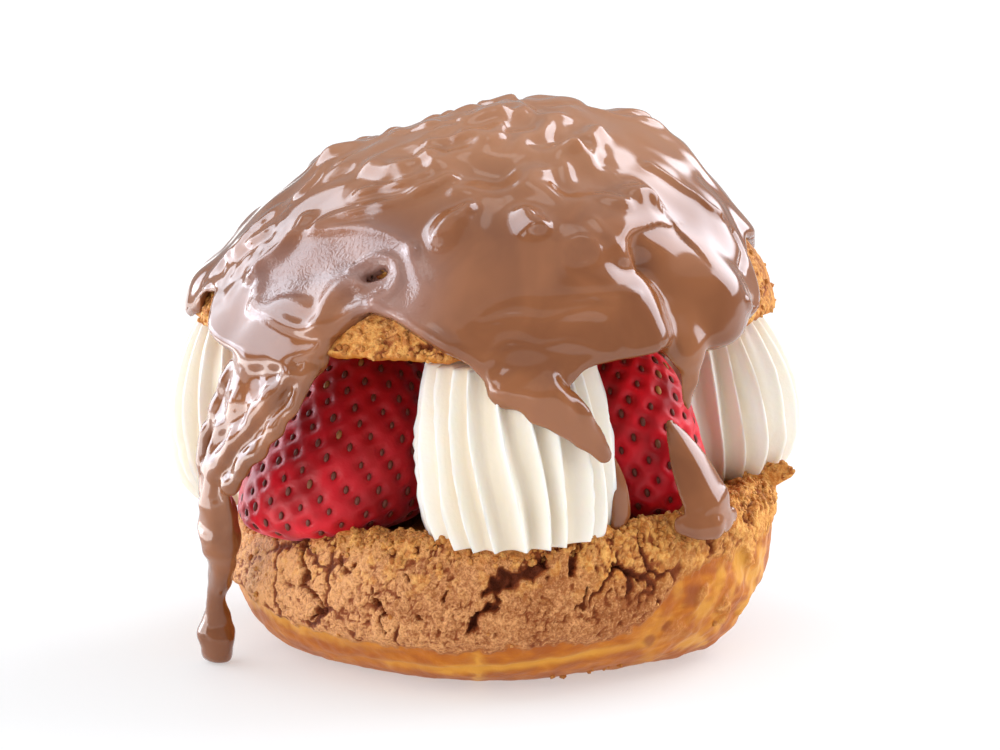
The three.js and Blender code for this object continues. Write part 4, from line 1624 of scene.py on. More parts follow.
        points[:, 2] = np.maximum(points[:, 2], 0)
        scorch = self.scorched(bearing, z, noise, points)
        poles = np.array([[0, 0, 0], [0, 0, self.rim - self.well]])
        # Painted shade: darker towards the right side; the crumb term is a random toast.
        toast_and_shade = 0.5 + 0.5 * np.clip(1.3 * np.sin(np.radians(bearing)), -1, 1) + 0.2 * (crumb - 0.5)
        crusty = np.maximum(crust, smoothstep(self.rim - 1.2, self.rim - 0.5, z))
        # Painted shade in the crust's hollows and in the deep cracks, less on the bare right side.
        hollow = hollow * crust * (1 - 0.5 * bump(bearing, 75, 45)) + 0.5 * carved
        values = {
            "crust": crusty,
            "hollow": np.clip(hollow, 0, 1),
            "scorch": scorch * (1 - crust),
            "gild_and_light": self.gilded(bearing, z, rim_share, crumb),
            "toast_and_shade": toast_and_shade,
            "crease": self.creased(bearing, z, foot, noise, points) * side,
        }
        piece = turned_piece("choux_bottom", points, self.columns, poles, values, self.material)
        hand_over(piece, Slot.CHOUX, "choux_base")
        on_side = np.zeros(len(points))
        on_side.reshape(len(path), -1)[side_rows] = 1
        fallen = 0.5 * bump(bearing, 25, 16) * smoothstep(3, 1, z)
        crumbs = on_side * (0.02 * crust + 1.2 * rim_share + fallen)
        return piece, np.append(crumbs * smoothstep(0.6, 1.2, z), np.zeros(2))

    def above_belt(self, bearing: Array, z: Array) -> Array:
        """Gives how far points are above the crease round the foot."""
        return z - self.belt[0] - self.belt[1] * bearing

    @staticmethod
    def gilded(bearing: Array, z: Array, rim_share: Array, crumb: Array) -> Array:
        """Works out how golden the crust is, and where it is painted paler as painted light.

        Args:
            bearing: Azimuths of points.
            z: Their heights.
            rim_share: How far they belong to the rim.
            crumb: Values of the crumbs that they belong to.

        Returns:
            Shares from 0 to 1.
        """
        golden = smoothstep(0.55, 0.95, crumb) * smoothstep(14, 23, z)
        # Golden crumbs and rim are the crust's own colour; the right side and the rim right of the front
        # cream are painted paler, as painted light.
        gild_and_light = rim_share * (0.35 + 0.65 * bump(bearing, 80, 60)) + bump(bearing, 72, 50) + 0.8 * golden
        return np.clip(gild_and_light + 0.6 * bump(bearing, 27, 20) * smoothstep(15, 21, z), 0, 1)

    def creased(self, bearing: Array, z: Array, foot: Array, noise: Noise, points: Array) -> Array:
        """Works out where the bare choux is pale.

        Args:
            bearing: Azimuths of points.
            z: Their heights on the bare form.
            foot: Heights where the crust ends.
            noise: Noise of the crust.
            points: The points.

        Returns:
            Shares, from 0 up.
        """
        crease = np.exp(-((self.above_belt(bearing, z) / 0.7) ** 2)) * bump(bearing, 5, 55)
        streaks = smoothstep(-0.2, 0.5, noise.layered(points + 40, 5, 3))
        crease = crease + bump(bearing, *self.bare_side) * streaks
        crease = crease + 0.7 * smoothstep(-2.6, -0.6, z - foot) * bump(bearing, -55, 45)
        split = (bearing + 4.6 + 1.2 * noise.smooth(points, 1.6)) / 1.2
        return crease + np.exp(-(split**2)) * smoothstep(10, 6, z)

    def shard_push(self, bearing: Array, z: Array, noise: Noise, points: Array) -> Array:
        """Works out how points of the rim move to make the shard.

        Args:
            bearing: Azimuths of points.
            z: Their heights on the bare form.
            noise: Noise of the crust.
            points: The points.

        Returns:
            Their moves.
        """
        centre, half, out, up = self.shard
        share = bump(bearing, centre, half) * smoothstep(self.rim - 1.6, self.rim - 0.4, z)
        share = share * (points[:, 0] > self.radius * 0.94) * (1 + 0.25 * noise.smooth(points, 1.5))
        return around(centre, out * share, up * share)

    def carved(self, bearing: Array, points: Array) -> Array:
        """Works out the deep cracks.

        Args:
            bearing: Azimuths of points.
            points: Points of the side.

        Returns:
            How deep the cracks are there.
        """
        noise = Noise(23)
        arc = np.radians(bearing) * self.radius
        flat = np.column_stack([arc, points[:, 2], np.zeros(len(arc))])
        moved = [points + 50 * k for k in (0, 1)]
        jitter = [1.1 * noise.smooth(spots, 2.2) + 0.7 * noise.smooth(spots, 1) for spots in moved]
        ragged = flat + np.column_stack([*jitter, 0 * arc])
        depth = np.zeros(len(points))
        for deep, half_width, path in self.cracks:
            knots = np.array(path)
            line = np.column_stack([np.radians(knots[:, 0]) * self.radius, knots[:, 1], 0 * knots[:, 0]])
            apart, _ = nearest_on_path(ragged, line)
            depth = np.maximum(depth, deep * (1 - smoothstep(half_width * 0.3, half_width * 1.15, apart)))
        return depth * (1 + 0.5 * noise.smooth(points, 1.4))

    def scorched(self, bearing: Array, z: Array, noise: Noise, points: Array) -> Array:
        """Works out the scorched spots.

        Args:
            bearing: Azimuths of points.
            z: Their heights on the bare form.
            noise: Noise of the crust.
            points: The points.

        Returns:
            How dark the spots are there, from 0 to 1.
        """
        dark = np.zeros(len(points))
        for centre, height, size in self.scorches:
            arc = np.radians((bearing - centre + 180) % 360 - 180) * self.radius
            apart = np.hypot(arc, z - height) + 0.8 * noise.smooth(points, 2)
            dark = np.maximum(dark, 0.75 * (1 - smoothstep(0.3 * size, size, apart)))
        return dark


@dataclass
class ChouxLid:
    """Upper half of the bun, bare where the chocolate stops short."""

    dome: Dome
    relief: Relief
    edge: Steps
    material: Material
    columns: int = 620
    rows: int = 70
    cap_rows: int = 24
    # Height above which the rows are wider apart.
    cap: float = 72.0
    # Side where the chocolate leaves the lid bare and smooth: its azimuth.
    bare_side: float = 86.0

    def build(self) -> tuple[Piece, Array]:
        """Makes and dresses the upper half.

        Returns:
            The finished piece, and how thick crumbs lie at its corners.
        """
        dome = self.dome
        low_turn = float(dome.turn_at(np.array(dome.under + 0.8)))
        high_turn = float(dome.turn_at(np.array(self.cap)))
        turns = np.concatenate([
            np.linspace(low_turn, high_turn, self.rows),
            np.linspace(high_turn, 88.5, self.cap_rows + 1)[1:],
        ])
        azimuth = np.linspace(-180, 180, self.columns, endpoint=False)
        wall = dome.surface(azimuth[None, :], turns[:, None])
        lip = np.linspace(0.1, 0.985, 12)[:, None, None]
        centre = np.array([dome.lean(dome.under), 0, dome.under])
        flat = centre + (wall[:1] - centre) * lip
        flat[:, :, 2] = dome.under - 0.2 * np.sin(np.pi * lip[:, :, 0])
        grid = np.concatenate([flat, wall])
        normals = grid_normals(grid).reshape(-1, 3)
        points = grid.reshape(-1, 3)
        bearing = np.tile(azimuth, len(grid))
        grain = CrustGrain(8)
        height, hollow, crumb = grain.relief(points)
        outside = np.repeat(np.arange(len(grid)) >= len(lip), self.columns)
        bare = (1 - smoothstep(2, 5, points[:, 2] - curve_round(bearing, self.edge))) * outside
        spot, turn = dome.bearings(points)
        sink = self.relief.sink(self.relief.sample(self.relief.heights, spot, turn)) * outside
        brink = smoothstep(1.6, 0.4, points[:, 2] - dome.under)
        ragged = 0.5 * grain.noise.layered(points, 2.4, 2)
        flake = 1.3 * bump(bearing, self.bare_side, 15) * smoothstep(71, 64, points[:, 2]) * outside
        smooth_side = bump(bearing, self.bare_side, 30)
        spread = bare * (height * (1 - 0.75 * smooth_side) + 0.2) + flake + sink + brink * ragged
        points = points + spread[:, None] * normals
        climb = dome.climb[0] * points[:, 0] + dome.climb[1] * points[:, 1]
        points[:, 2] += (1 - smoothstep(57, 63, points[:, 2])) * climb
        crust = outside * 1.0
        poles = np.array([centre, [dome.lean(90.0), 0, dome.centre + dome.rise]])
        dull = smoothstep(1.2, 3.6, points[:, 2] - dome.under)
        values = {
            "crust": crust,
            # Painted shade in the lid's hollows.
            "hollow": hollow * crust,
            "scorch": np.zeros(len(points)),
            "gild_and_light": 0.9 - 0.7 * dull * (1 - crumb),
            "toast_and_shade": 0.7 + 0.3 * crumb,
            "crease": np.zeros(len(points)),
        }
        piece = turned_piece("choux_top", points, self.columns, poles, values, self.material)
        hand_over(piece, Slot.CHOUX, "choux_lid")
        free = points[:, 2] < curve_round(bearing, self.edge) - 0.5
        return piece, np.append(0.7 * crust * free * (1 - 0.9 * smooth_side), np.zeros(2))


@dataclass
class CrustCrumbs:
    """Loose crumbs of crust on the rim and on the bare parts of the lid."""

    material: Material
    density: float = 0.55
    smallest: float = 0.2
    largest: float = 0.62
    kinds: int = 4
    seed: int = 4
    # Values that the material reads: name, least and most.
    tones: tuple[tuple[str, float, float], ...] = (
        ("crust", 0.9, 1.0), ("hollow", 0.0, 0.3), ("gild_and_light", 0.2, 1.0), ("toast_and_shade", 0.2, 0.9),
    )

    def recipe(self) -> Recipe:
        """Builds the tree that scatters crumbs.

        Returns:
            The tree, with its density, sizes and seed as inputs.
        """
        recipe = Recipe("crust_crumbs")
        density, small, large = (recipe.size(name) for name in ("Density", "Smallest", "Largest"))
        seed = recipe.size("Seed", "Int")
        share = recipe.out("GeometryNodeInputNamedAttribute", {"Name": "crumbs"})
        amount = recipe.math("MULTIPLY", density, share)
        spread = recipe.out("GeometryNodeDistributePointsOnFaces", {
            "Mesh": recipe.geometry, "Density": amount, "Seed": seed,
        })
        crumbs = recipe.add("GeometryNodeJoinGeometry")
        place = recipe.out("GeometryNodeInputPosition")
        middle = (0.5, 0.5, 0.5)
        for kind in range(self.kinds):
            ball = recipe.out("GeometryNodeMeshUVSphere", {"Segments": 7, "Rings": 5, "Radius": 1.0})
            spot = recipe.out("ShaderNodeVectorMath", {0: place, 1: (3.0 * kind, 0, 0)}, operation="ADD")
            noise = recipe.add("ShaderNodeTexNoise", {"Vector": spot, "Scale": 1.1, "Detail": 1.0})
            push = {0: noise.outputs[1], 1: middle}
            push = recipe.out("ShaderNodeVectorMath", push, operation="SUBTRACT")
            push = recipe.out("ShaderNodeVectorMath", {0: push, "Scale": 1.5}, operation="SCALE")
            chip = recipe.out("GeometryNodeSetPosition", {"Geometry": ball, "Offset": push})
            chip = recipe.out("GeometryNodeGeometryToInstance", {0: chip})
            recipe.tree.links.new(chip, crumbs.inputs[0])
        size = recipe.vary(small, large, seed)
        turn = recipe.add("FunctionNodeRandomValue", {0: (0, 0, 0), 1: (6.3, 6.3, 6.3), "Seed": seed})
        turn.data_type = "FLOAT_VECTOR"
        crusty = recipe.out("GeometryNodeInstanceOnPoints", {
            "Points": spread, "Instance": crumbs.outputs[0], "Pick Instance": True,
            "Rotation": turn.outputs[0], "Scale": size,
        })
        for name, low, high in self.tones:
            number = recipe.vary(low, high, seed)
            crusty = recipe.out(
                "GeometryNodeStoreNamedAttribute", {"Geometry": crusty, "Name": name, "Value": number},
                data_type="FLOAT", domain="INSTANCE",
            )
        recipe.close(crusty, self.material)
        return recipe

    def build(self, beds: Sequence[tuple[Piece, Array]]) -> None:
        """Scatters the crumbs.

        Args:
            beds: Pieces that carry crumbs, and how thick they lie at each corner.
        """
        joined = bmesh.new()
        for bed, _ in beds:
            joined.from_mesh(bed.data)
        mesh = bpy.data.meshes.new("crust_crumbs")
        joined.to_mesh(mesh)
        joined.free()
        share = mesh.attributes.new("crumbs", "FLOAT", "POINT")
        share.data.foreach_set("value", np.concatenate([amount for _, amount in beds]).astype(np.float32))
        piece = new_object("crust_crumbs", mesh)
        self.recipe().make(piece, {
            "Density": self.density / MM**2, "Smallest": self.smallest * MM, "Largest": self.largest * MM,
            "Seed": self.seed,
        })
        hand_over(piece, Slot.CHOUX)


@dataclass(frozen=True)
class Swirl:
    """One piped cream: its place on the seat, greatest radius, and foot and top as shares of it."""

    node: str
    x: float
    y: float
    radius: float
    foot: float
    top: float
    turn: float


@dataclass
class PipedCream:
    """The piped creams of the ring and the cream between them."""

    ring: Ring
    material: Material
    ridges: int = 22
    depth: float = 2.9
    twist: float = -12.0
    belly: float = 0.4
    columns: int = 361
    rows: int = 64
    # Section of a ridge and the valley after it: share of the way and height.
    pleat: Steps = (
        (0.05, 0.84), (0.15, 0.36), (0.26, 0.06), (0.34, 0.0), (0.5, 0.08), (0.7, 0.32), (0.86, 0.64),
        (0.95, 0.88),
    )
    swirls: tuple[Swirl, ...] = (
        Swirl("cream_front", 4.8, -36.9, 16.3, 0.9, 0.84, 0),
        Swirl("cream_right", 38.4, 4.5, 16.4, 0.72, 0.56, 5),
        Swirl("cream_back", -1, 37.5, 15.7, 0.85, 0.8, 9),
        Swirl("cream_left", -39.9, 6, 16.3, 0.7, 0.56, 3),
    )

    def recipe(self) -> Recipe:
        """Builds the tree that pipes a cream.

        Returns:
            The tree, with the cream's sizes, place and tilt as inputs.
        """
        recipe = Recipe("piped_cream")
        math_of = recipe.math
        names = ("Radius", "Height", "Foot", "Top", "Turn", "Twist", "Ridges", "Depth", "Belly", "Seed")
        radius, height, foot, top, turn, twist, ridges, depth, belly, seed = map(recipe.size, names)
        place, tilt = recipe.size("Place", "Vector"), recipe.size("Tilt", "Vector")
        grid = recipe.out("GeometryNodeMeshGrid", {0: 1.0, 1: 1.0, 2: self.columns, 3: self.rows})
        spot = recipe.add("ShaderNodeSeparateXYZ", {0: recipe.out("GeometryNodeInputPosition")})
        u = math_of("ADD", spot.outputs[0], 0.5)
        v = math_of("ADD", spot.outputs[1], 0.5)
        row = 1 / (self.rows - 1)
        share = recipe.out("ShaderNodeMapRange", {0: v, 1: row, 2: 1 - row})
        on_wall = math_of("GREATER_THAN", v, row / 2)
        on_wall = math_of("MULTIPLY", on_wall, math_of("LESS_THAN", v, 1 - row / 2))
        circle = math_of("MULTIPLY", u, math.tau)
        level = math_of("MULTIPLY_ADD", share, 1.6, seed)
        loop = recipe.out("ShaderNodeCombineXYZ", {
            0: math_of("COSINE", circle), 1: math_of("SINE", circle), 2: level,
        })
        drift = recipe.out("ShaderNodeTexNoise", {"Vector": loop, "Scale": 1.7, "Detail": 2.0})
        drift = math_of("SUBTRACT", drift, 0.5)
        below = math_of("MAXIMUM", math_of("DIVIDE", math_of("SUBTRACT", belly, share), belly), 0.0)
        span = math_of("SUBTRACT", 1.0, belly)
        above = math_of("MAXIMUM", math_of("DIVIDE", math_of("SUBTRACT", share, belly), span), 0.0)
        tuck = math_of("MULTIPLY", math_of("SUBTRACT", 1.0, foot), math_of("POWER", below, 3.0))
        draw = math_of("MULTIPLY", math_of("SUBTRACT", 1.0, top), math_of("POWER", above, 2.0))
        width = math_of("SUBTRACT", math_of("SUBTRACT", 1.0, tuck), draw)
        width = math_of("MULTIPLY_ADD", drift, 0.06, width)
        slow = math_of("MULTIPLY_ADD", share, 0.25, seed)
        uneven = recipe.out("ShaderNodeCombineXYZ", {
            0: math_of("COSINE", circle), 1: math_of("SINE", circle), 2: slow,
        })
        uneven = recipe.out("ShaderNodeTexNoise", {"Vector": uneven, "Scale": 2.6, "Detail": 1.0})
        phase = math_of("MULTIPLY_ADD", uneven, 1.6, math_of("MULTIPLY", u, ridges))
        pleat = recipe.add("ShaderNodeFloatCurve", {1: math_of("FRACT", phase)})
        curve = pleat.mapping.curves[0]
        curve.points[0].location = (0.0, 1.0)
        curve.points[1].location = (1.0, 1.0)
        for way, rise in self.pleat:
            curve.points.new(way, rise)
        pleat.mapping.update()
        valley = math_of("SUBTRACT", 1.0, pleat.outputs[0])
        groove = math_of("MULTIPLY", depth, valley)
        groove = math_of("MULTIPLY", groove, math_of("MULTIPLY_ADD", drift, 0.9, width))
        reach = math_of("SUBTRACT", math_of("MULTIPLY", radius, width), groove)
        reach = math_of("MULTIPLY", reach, on_wall)
        wind = math_of("MULTIPLY_ADD", twist, share, math_of("ADD", circle, turn))
        shaped = recipe.out("ShaderNodeCombineXYZ", {
            0: math_of("MULTIPLY", reach, math_of("SINE", wind)),
            1: math_of("MULTIPLY", math_of("MULTIPLY", reach, -1.0), math_of("COSINE", wind)),
            2: math_of("MULTIPLY", height, share),
        })
        stored = {"Geometry": grid, "Name": "valley", "Value": valley}
        grid = recipe.out("GeometryNodeStoreNamedAttribute", stored)
        cream = recipe.out("GeometryNodeSetPosition", {"Geometry": grid, "Position": shaped})
        cream = recipe.out("GeometryNodeMergeByDistance", {"Geometry": cream, "Distance": 0.01 * MM})
        moved = {"Geometry": cream, "Translation": place, "Rotation": tilt}
        recipe.close(recipe.out("GeometryNodeTransform", moved), self.material)
        return recipe

    def build(self) -> None:
        """Makes and dresses the creams."""
        recipe = self.recipe()
        tilt = (0.0, -math.atan(self.ring.slope), 0.0)
        for number, swirl in enumerate(self.swirls):
            place = self.ring.place(np.array([swirl.x, swirl.y, self.ring.gap]))
            piece = new_object(swirl.node.replace("cream", "piped"), bpy.data.meshes.new(swirl.node))
            recipe.make(piece, {
                "Radius": swirl.radius * MM,
                "Height": self.ring.room(swirl.x, swirl.y, swirl.radius) * MM,
                "Foot": swirl.foot,
                "Top": swirl.top,
                "Turn": math.radians(swirl.turn),
                "Twist": math.radians(self.twist),
                "Ridges": float(self.ridges),
                "Depth": self.depth * MM,
                "Belly": self.belly,
                "Seed": 5.0 * number,
                "Place": tuple(float(value) * MM for value in place),
                "Tilt": tilt,
            })
            hand_over(piece, Slot.CREAM, swirl.node)
        self.middle()

    def middle(self) -> None:
        """Makes and dresses the cream in the middle, a softened copy of its solid."""
        solid = bmesh.new()
        solid.from_mesh(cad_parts["cream_middle"].data)
        bmesh.ops.remove_doubles(solid, verts=solid.verts, dist=0.01 * MM)
        mesh = bpy.data.meshes.new("cream_heart")
        solid.to_mesh(mesh)
        solid.free()
        piece = new_object("cream_heart", mesh)
        remesh = piece.modifiers.new("even", "REMESH")
        remesh.voxel_size = 0.9 * MM
        remesh.use_smooth_shade = True
        soften = piece.modifiers.new("soften", "SMOOTH")
        soften.iterations = 8
        plain_mesh(piece)
        piece.data.materials.clear()
        piece.data.materials.append(self.material)
        hand_over(piece, Slot.CREAM, "cream_middle")


@dataclass(frozen=True)
class Berry:
    """One strawberry: its place on the seat, its radius, its lean inwards and where it is widest."""

    node: str
    x: float
    y: float
    radius: float
    lean: float = 0.2
    widest: float = -0.3


@dataclass
class Strawberries:
    """Strawberries on their cut ends, tip up, with seeds in pits."""

    ring: Ring
    skin: Material
    seed_skin: Material
    sink: float = 1.8
    spacing: float = 3.7
    pit_depth: float = 0.6
    pit_width: float = 0.85
    seed_size: tuple[float, float, float] = (0.42, 0.75, 0.3)
    seed: int = 3
    columns: int = 190
    rows: int = 110
    berries: tuple[Berry, ...] = (
        Berry("strawberry_front_left", -27.0, -20.4, 16.8, 0.35, -0.42),
        Berry("strawberry_front_right", 27, -21, 11),
        Berry("strawberry_back_right", 25.4, 29.6, 10.8),
        Berry("strawberry_back_left", -27.6, 31, 10.7),
    )

    def form(self, berry: Berry, azimuth: Array, level: Array) -> Array:
        """Gives points on a berry's bare form.

        Args:
            berry: The strawberry.
            azimuth: Azimuths about its own axis.
            level: Heights on it, from -1 at its foot to 1 at its tip.

        Returns:
            Points in the part's frame.
        """
        height = self.ring.room(berry.x, berry.y, berry.radius) + self.sink
        above = np.maximum(level - berry.widest, 0) / (1 - berry.widest)
        below = np.maximum(berry.widest - level, 0) / (1 + berry.widest)
        width = berry.radius * np.sqrt(np.maximum(1 - above**2 - below**4, 0))
        points = around(azimuth, width, (level + 1) / 2 * height)
        away = math.hypot(berry.x, berry.y)
        points[..., 0] += berry.x - berry.lean * berry.x / away * points[..., 2]
        points[..., 1] += berry.y - berry.lean * berry.y / away * points[..., 2]
        points[..., 2] += self.ring.gap - self.sink
        return self.ring.place(points)

    def build(self) -> None:
        """Makes and dresses the strawberries and their seeds."""
        spots, ups, tips = [], [], []
        for number, berry in enumerate(self.berries):
            azimuth = np.linspace(-180, 180, self.columns, endpoint=False)
            level = -np.cos(np.radians(np.linspace(2, 178, self.rows)))
            grid = self.form(berry, azimuth[None, :], level[:, None])
            normals = grid_normals(grid).reshape(-1, 3)
            points = grid.reshape(-1, 3)
            noise = Noise(40 + number)
            seeds, outward, along = self.seed_spots(berry, noise)
            apart = np.full(len(points), np.inf)
            for seed in seeds:
                apart = np.minimum(apart, np.linalg.norm(points - seed, axis=1))
            pit = np.exp(-((apart / self.pit_width) ** 2))
            cushion = 0.18 * smoothstep(0.7, 2.0, apart)
            swell = 0.5 * noise.smooth(points, 11) + 0.1 * noise.smooth(points, 3.5)
            height = swell + cushion - self.pit_depth * pit
            points = points + height[:, None] * normals
            poles = self.form(berry, np.zeros(2), np.array([-1.0, 1.0]))
            name = berry.node.replace("strawberry", "berry")
            # The pit share also sets the painted shade in the pits.
            piece = turned_piece(name, points, self.columns, poles, {"pit": 0.7 * pit}, self.skin)
            hand_over(piece, Slot.STRAWBERRY, berry.node)
            spots.append(seeds + outward * (0.5 * noise.smooth(seeds, 11) - 0.28)[:, None])
            ups.append(outward)
            tips.append(along)
        self.plant(np.vstack(spots), np.vstack(ups), np.vstack(tips))

    def seed_spots(self, berry: Berry, noise: Noise) -> tuple[Array, Array, Array]:
        """Spreads seeds over a berry in spirals.

        Args:
            berry: The strawberry.
            noise: Noise that unsettles them.

        Returns:
            Their places on the bare form, the directions out of it and along it to the tip.
        """
        height = self.ring.room(berry.x, berry.y, berry.radius) + self.sink
        count = int(2 * math.pi * berry.radius * height / (self.spacing**2 * 0.87))
        index = np.arange(count)
        level = 1 - (2 * index + 1) / count
        azimuth = index * GOLDEN_ANGLE
        spots = self.form(berry, azimuth, level)
        azimuth = azimuth + 2.5 * noise.smooth(spots, 2)
        level = np.clip(level + 0.03 * noise.smooth(spots + 30, 2), -0.995, 0.995)
        spots = self.form(berry, azimuth, level)
        along = self.form(berry, azimuth, np.minimum(level + 0.01, 1)) - spots
        across = self.form(berry, azimuth + 1, level) - spots
        outward = np.cross(across, along)
        outward /= np.linalg.norm(outward, axis=1, keepdims=True)
        along /= np.linalg.norm(along, axis=1, keepdims=True)
        return spots, outward, along

    def plant(self, spots: Array, ups: Array, tips: Array) -> None:
        """Sets a seed on each spot.

        Args:
            spots: Where the seeds are.
            ups: Directions out of the skin.
            tips: Directions along it.
        """
        piece = make_piece("strawberry_seeds", spots, [], {})
        for name, ways in (("outward", ups), ("along", tips)):
            store = piece.data.attributes.new(name, "FLOAT_VECTOR", "POINT")
            store.data.foreach_set("vector", ways.astype(np.float32).ravel())
        size = tuple(value * MM for value in self.seed_size)
        self.recipe().make(piece, {"Size": size, "Seed": self.seed})
        hand_over(piece, Slot.STRAWBERRY)

    def recipe(self) -> Recipe:
        """Builds the tree that plants seeds.

        Returns:
            The tree, with the seeds' size and the start of their random values as inputs.
        """
        recipe = Recipe("strawberry_seeds")
        size, seed = recipe.size("Size", "Vector"), recipe.size("Seed", "Int")
        ball = recipe.out("GeometryNodeMeshUVSphere", {"Segments": 8, "Rings": 6, "Radius": 1.0})
        kernel = recipe.out("GeometryNodeTransform", {"Geometry": ball, "Scale": size})
        turn = None
        for axis, pivot, name in (("Z", "AUTO", "outward"), ("Y", "Z", "along")):
            way = recipe.out("GeometryNodeInputNamedAttribute", {"Name": name}, data_type="FLOAT_VECTOR")
            node = recipe.add(
                "FunctionNodeAlignRotationToVector", {"Vector": way}, axis=axis, pivot_axis=pivot
            )
            if turn:
                recipe.tree.links.new(turn, node.inputs["Rotation"])
            turn = node.outputs[0]
        placed = recipe.out("GeometryNodeInstanceOnPoints", {
            "Points": recipe.geometry, "Instance": kernel, "Rotation": turn,
            "Scale": recipe.vary(0.8, 1.15, seed),
        })
        toned = recipe.out(
            "GeometryNodeStoreNamedAttribute",
            {"Geometry": placed, "Name": "tone", "Value": recipe.vary(0.0, 1.0, seed)},
            data_type="FLOAT", domain="INSTANCE",
        )
        recipe.close(toned, self.seed_skin)
        return recipe


# Studio


@dataclass(frozen=True)
class Softbox:
    """A soft light far away: direction, half breadths in degrees, radiance and colour."""

    azimuth: float
    elevation: float
    half_width: float
    half_height: float
    radiance: float
    colour: Colour


@dataclass(frozen=True)
class Lamp:
    """A lamp that faces the bun: direction, distance, sizes, watts, colour and what sees it."""

    name: str
    azimuth: float
    elevation: float
    away: float
    breadth: float
    tall: float
    power: float
    colour: Colour = (1.0, 1.0, 1.0, 1.0)
    visible_glossy: bool = True
    visible_diffuse: bool = True


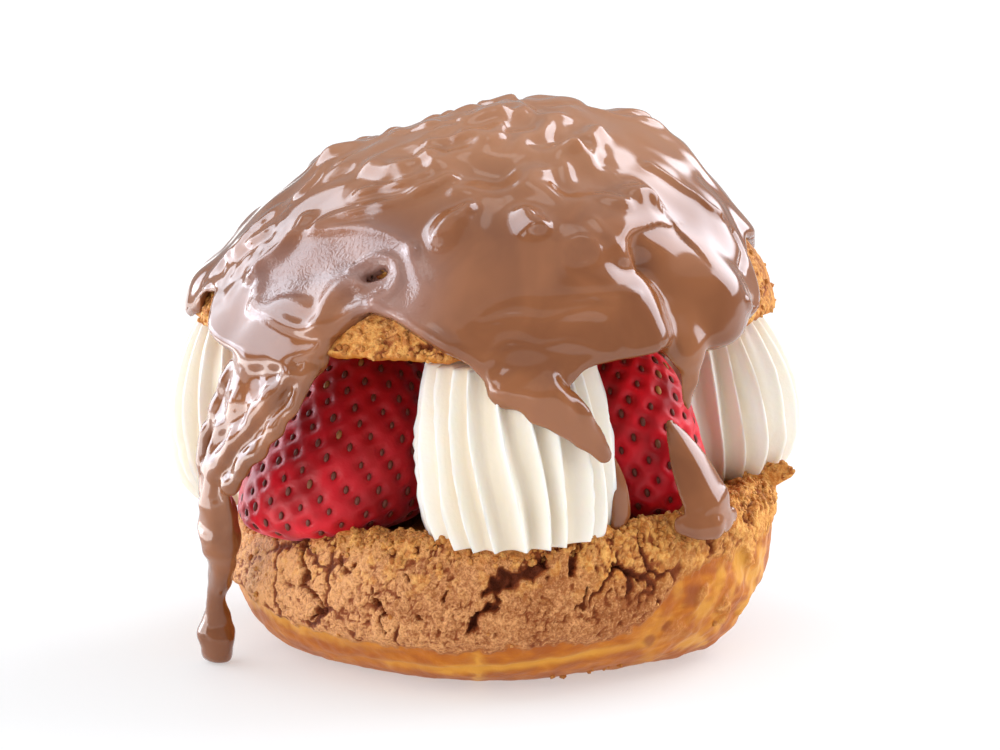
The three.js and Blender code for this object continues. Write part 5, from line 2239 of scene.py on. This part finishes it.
@dataclass
class Studio:
    """Camera, white floor and soft light all round."""

    elevation: float = 10.0
    distance: float = 550.0
    target: tuple[float, float, float] = (1.7, 0.0, 45.3)
    pixels_per_mm: float = 5.8
    image_width: int = 1000
    sensor: float = 36.0
    floor_half: float = 3000.0
    ambient: Colour = srgb(177, 177, 179)
    backdrop: Colour = (1.0, 1.0, 1.0, 1.0)
    # Share of a soft light's breadth over which its edge fades.
    fade: float = 0.12
    lamps: tuple[Lamp, ...] = (
        Lamp("fill", 76, 12, 1000, 500, 500, 3.2, visible_glossy=False),
        Lamp("front_fill", -40, 18, 1000, 600, 600, 2.7, visible_glossy=False),
        Lamp("window", -105, 31, 1000, 1300, 690, 9.9, srgb(230, 242, 255), visible_diffuse=False),
        Lamp("low_window", -116, 5, 1000, 650, 390, 4.6, srgb(228, 240, 255), visible_diffuse=False),
        Lamp("card", -80, 7, 140, 170, 34, 0.09, visible_diffuse=False),
    )
    boxes: tuple[Softbox, ...] = (
        Softbox(121, 30, 29, 17.5, 5.3, srgb(241, 245, 255)),
        Softbox(-105, 31, 33, 19, 1.8, srgb(230, 242, 255)),
        Softbox(-116, 5, 18, 11, 2.2, srgb(228, 240, 255)),
        Softbox(-50, 16, 6, 10, 3.2, srgb(250, 252, 255)),
        Softbox(0, 80, 180, 38, 0.4, srgb(255, 253, 250)),
        Softbox(0, 89, 180, 10, 1.2, srgb(255, 253, 250)),
    )

    def camera(self) -> None:
        """Sets the camera at the photograph's height and distance."""
        data = bpy.data.cameras.new("view")
        data.sensor_width = self.sensor
        data.lens = self.sensor * self.pixels_per_mm * self.distance / self.image_width
        data.clip_start = 0.01
        eye = new_object("view", data)
        tilt = math.radians(self.elevation)
        back = Vector((0, -math.cos(tilt), math.sin(tilt)))
        eye.location = (Vector(self.target) + self.distance * back) * MM
        eye.rotation_euler = (math.pi / 2 - tilt, 0, 0)
        bpy.context.scene.camera = eye

    def floor(self) -> None:
        """Lays the floor."""
        half = self.floor_half
        corners = np.array([[-half, -half, 0], [half, -half, 0], [half, half, 0], [-half, half, 0]])
        floor = make_piece("floor", corners, [np.array([[0, 1, 2, 3]])], {}, TableFinish().make())
        floor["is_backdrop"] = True

    def light(self) -> None:
        """Fills the world with soft light and a white backdrop."""
        world = bpy.data.worlds.new("studio")
        bpy.context.scene.world = world
        world.use_nodes = True
        graph = Graph(world.node_tree)
        background = world.node_tree.nodes["Background"]
        way = graph.add("ShaderNodeTexCoord").outputs["Generated"]
        parts = graph.add("ShaderNodeSeparateXYZ", {0: way}).outputs
        back = graph.math("MULTIPLY", parts[1], -1.0)
        azimuth = graph.math("DEGREES", graph.math("ARCTAN2", parts[0], back))
        elevation = graph.math("DEGREES", graph.math("ARCSINE", parts[2]))
        total = self.ambient[:3]
        inner, outer = 1 - self.fade, 1 + self.fade
        for box in self.boxes:
            apart = graph.math("WRAP", graph.math("SUBTRACT", azimuth, box.azimuth), 180.0, -180.0)
            apart = graph.math("ABSOLUTE", apart)
            above = graph.math("ABSOLUTE", graph.math("SUBTRACT", elevation, box.elevation))
            across = graph.ramp(apart, box.half_width * inner, box.half_width * outer, 1, 0)
            upward = graph.ramp(above, box.half_height * inner, box.half_height * outer, 1, 0)
            share = graph.math("MULTIPLY", across, upward)
            glow = tuple(box.radiance * value for value in box.colour[:3])
            light = graph.out("ShaderNodeVectorMath", {0: glow, "Scale": share}, operation="SCALE")
            total = graph.out("ShaderNodeVectorMath", {0: light, 1: total})
        seen = graph.add("ShaderNodeLightPath").outputs["Is Camera Ray"]
        graph.tree.links.new(graph.blend(seen, total, self.backdrop), background.inputs["Color"])
        bpy.context.scene.view_settings.view_transform = "Standard"

    def hang(self, lamp: Lamp) -> None:
        """Sets up one lamp.

        Args:
            lamp: The lamp, which is turned to face the bun.
        """
        data = bpy.data.lights.new(lamp.name, "AREA")
        data.shape = "RECTANGLE"
        data.size, data.size_y = lamp.breadth * MM, lamp.tall * MM
        data.energy, data.color = lamp.power, lamp.colour[:3]
        piece = new_object(lamp.name, data)
        level = math.radians(lamp.elevation)
        out, up = lamp.away * math.cos(level), lamp.away * math.sin(level)
        piece.location = around(lamp.azimuth, out, up) * MM
        piece.rotation_euler = (math.pi / 2 - level, 0, math.radians(lamp.azimuth))
        piece.visible_camera = False
        piece.visible_glossy, piece.visible_diffuse = lamp.visible_glossy, lamp.visible_diffuse

    def build(self) -> None:
        """Sets up the whole studio."""
        self.camera()
        self.floor()
        self.light()
        for lamp in self.lamps:
            self.hang(lamp)


def main() -> None:
    """Builds the bun piece by piece and the studio round it."""
    logging.basicConfig(level=logging.INFO, format="%(message)s")
    Studio().build()
    chocolate, pastry, cream = ChocolateFinish().make(), PastryFinish().make(), CreamFinish().make()
    dome = Dome()
    ring, relief = Ring(dome), Relief(dome)
    coat = ChocolateCoat(dome, relief, relief.thickness, chocolate)
    coat.build()
    LooseRuns(chocolate).build()
    bottom = ChouxBase(pastry).build()
    top = ChouxLid(dome, relief, coat.edge, pastry).build()
    CrustCrumbs(pastry).build([bottom, top])
    PipedCream(ring, cream).build()
    Strawberries(ring, BerryFinish().make(), SeedFinish().make()).build()
    bpy.context.view_layer.update()
    boxes = {"cad": CAD_BOX, "visual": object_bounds()}
    {name: [list(corner) for corner in box] for name, box in boxes.items()}


if __name__ == "__main__":
    main()
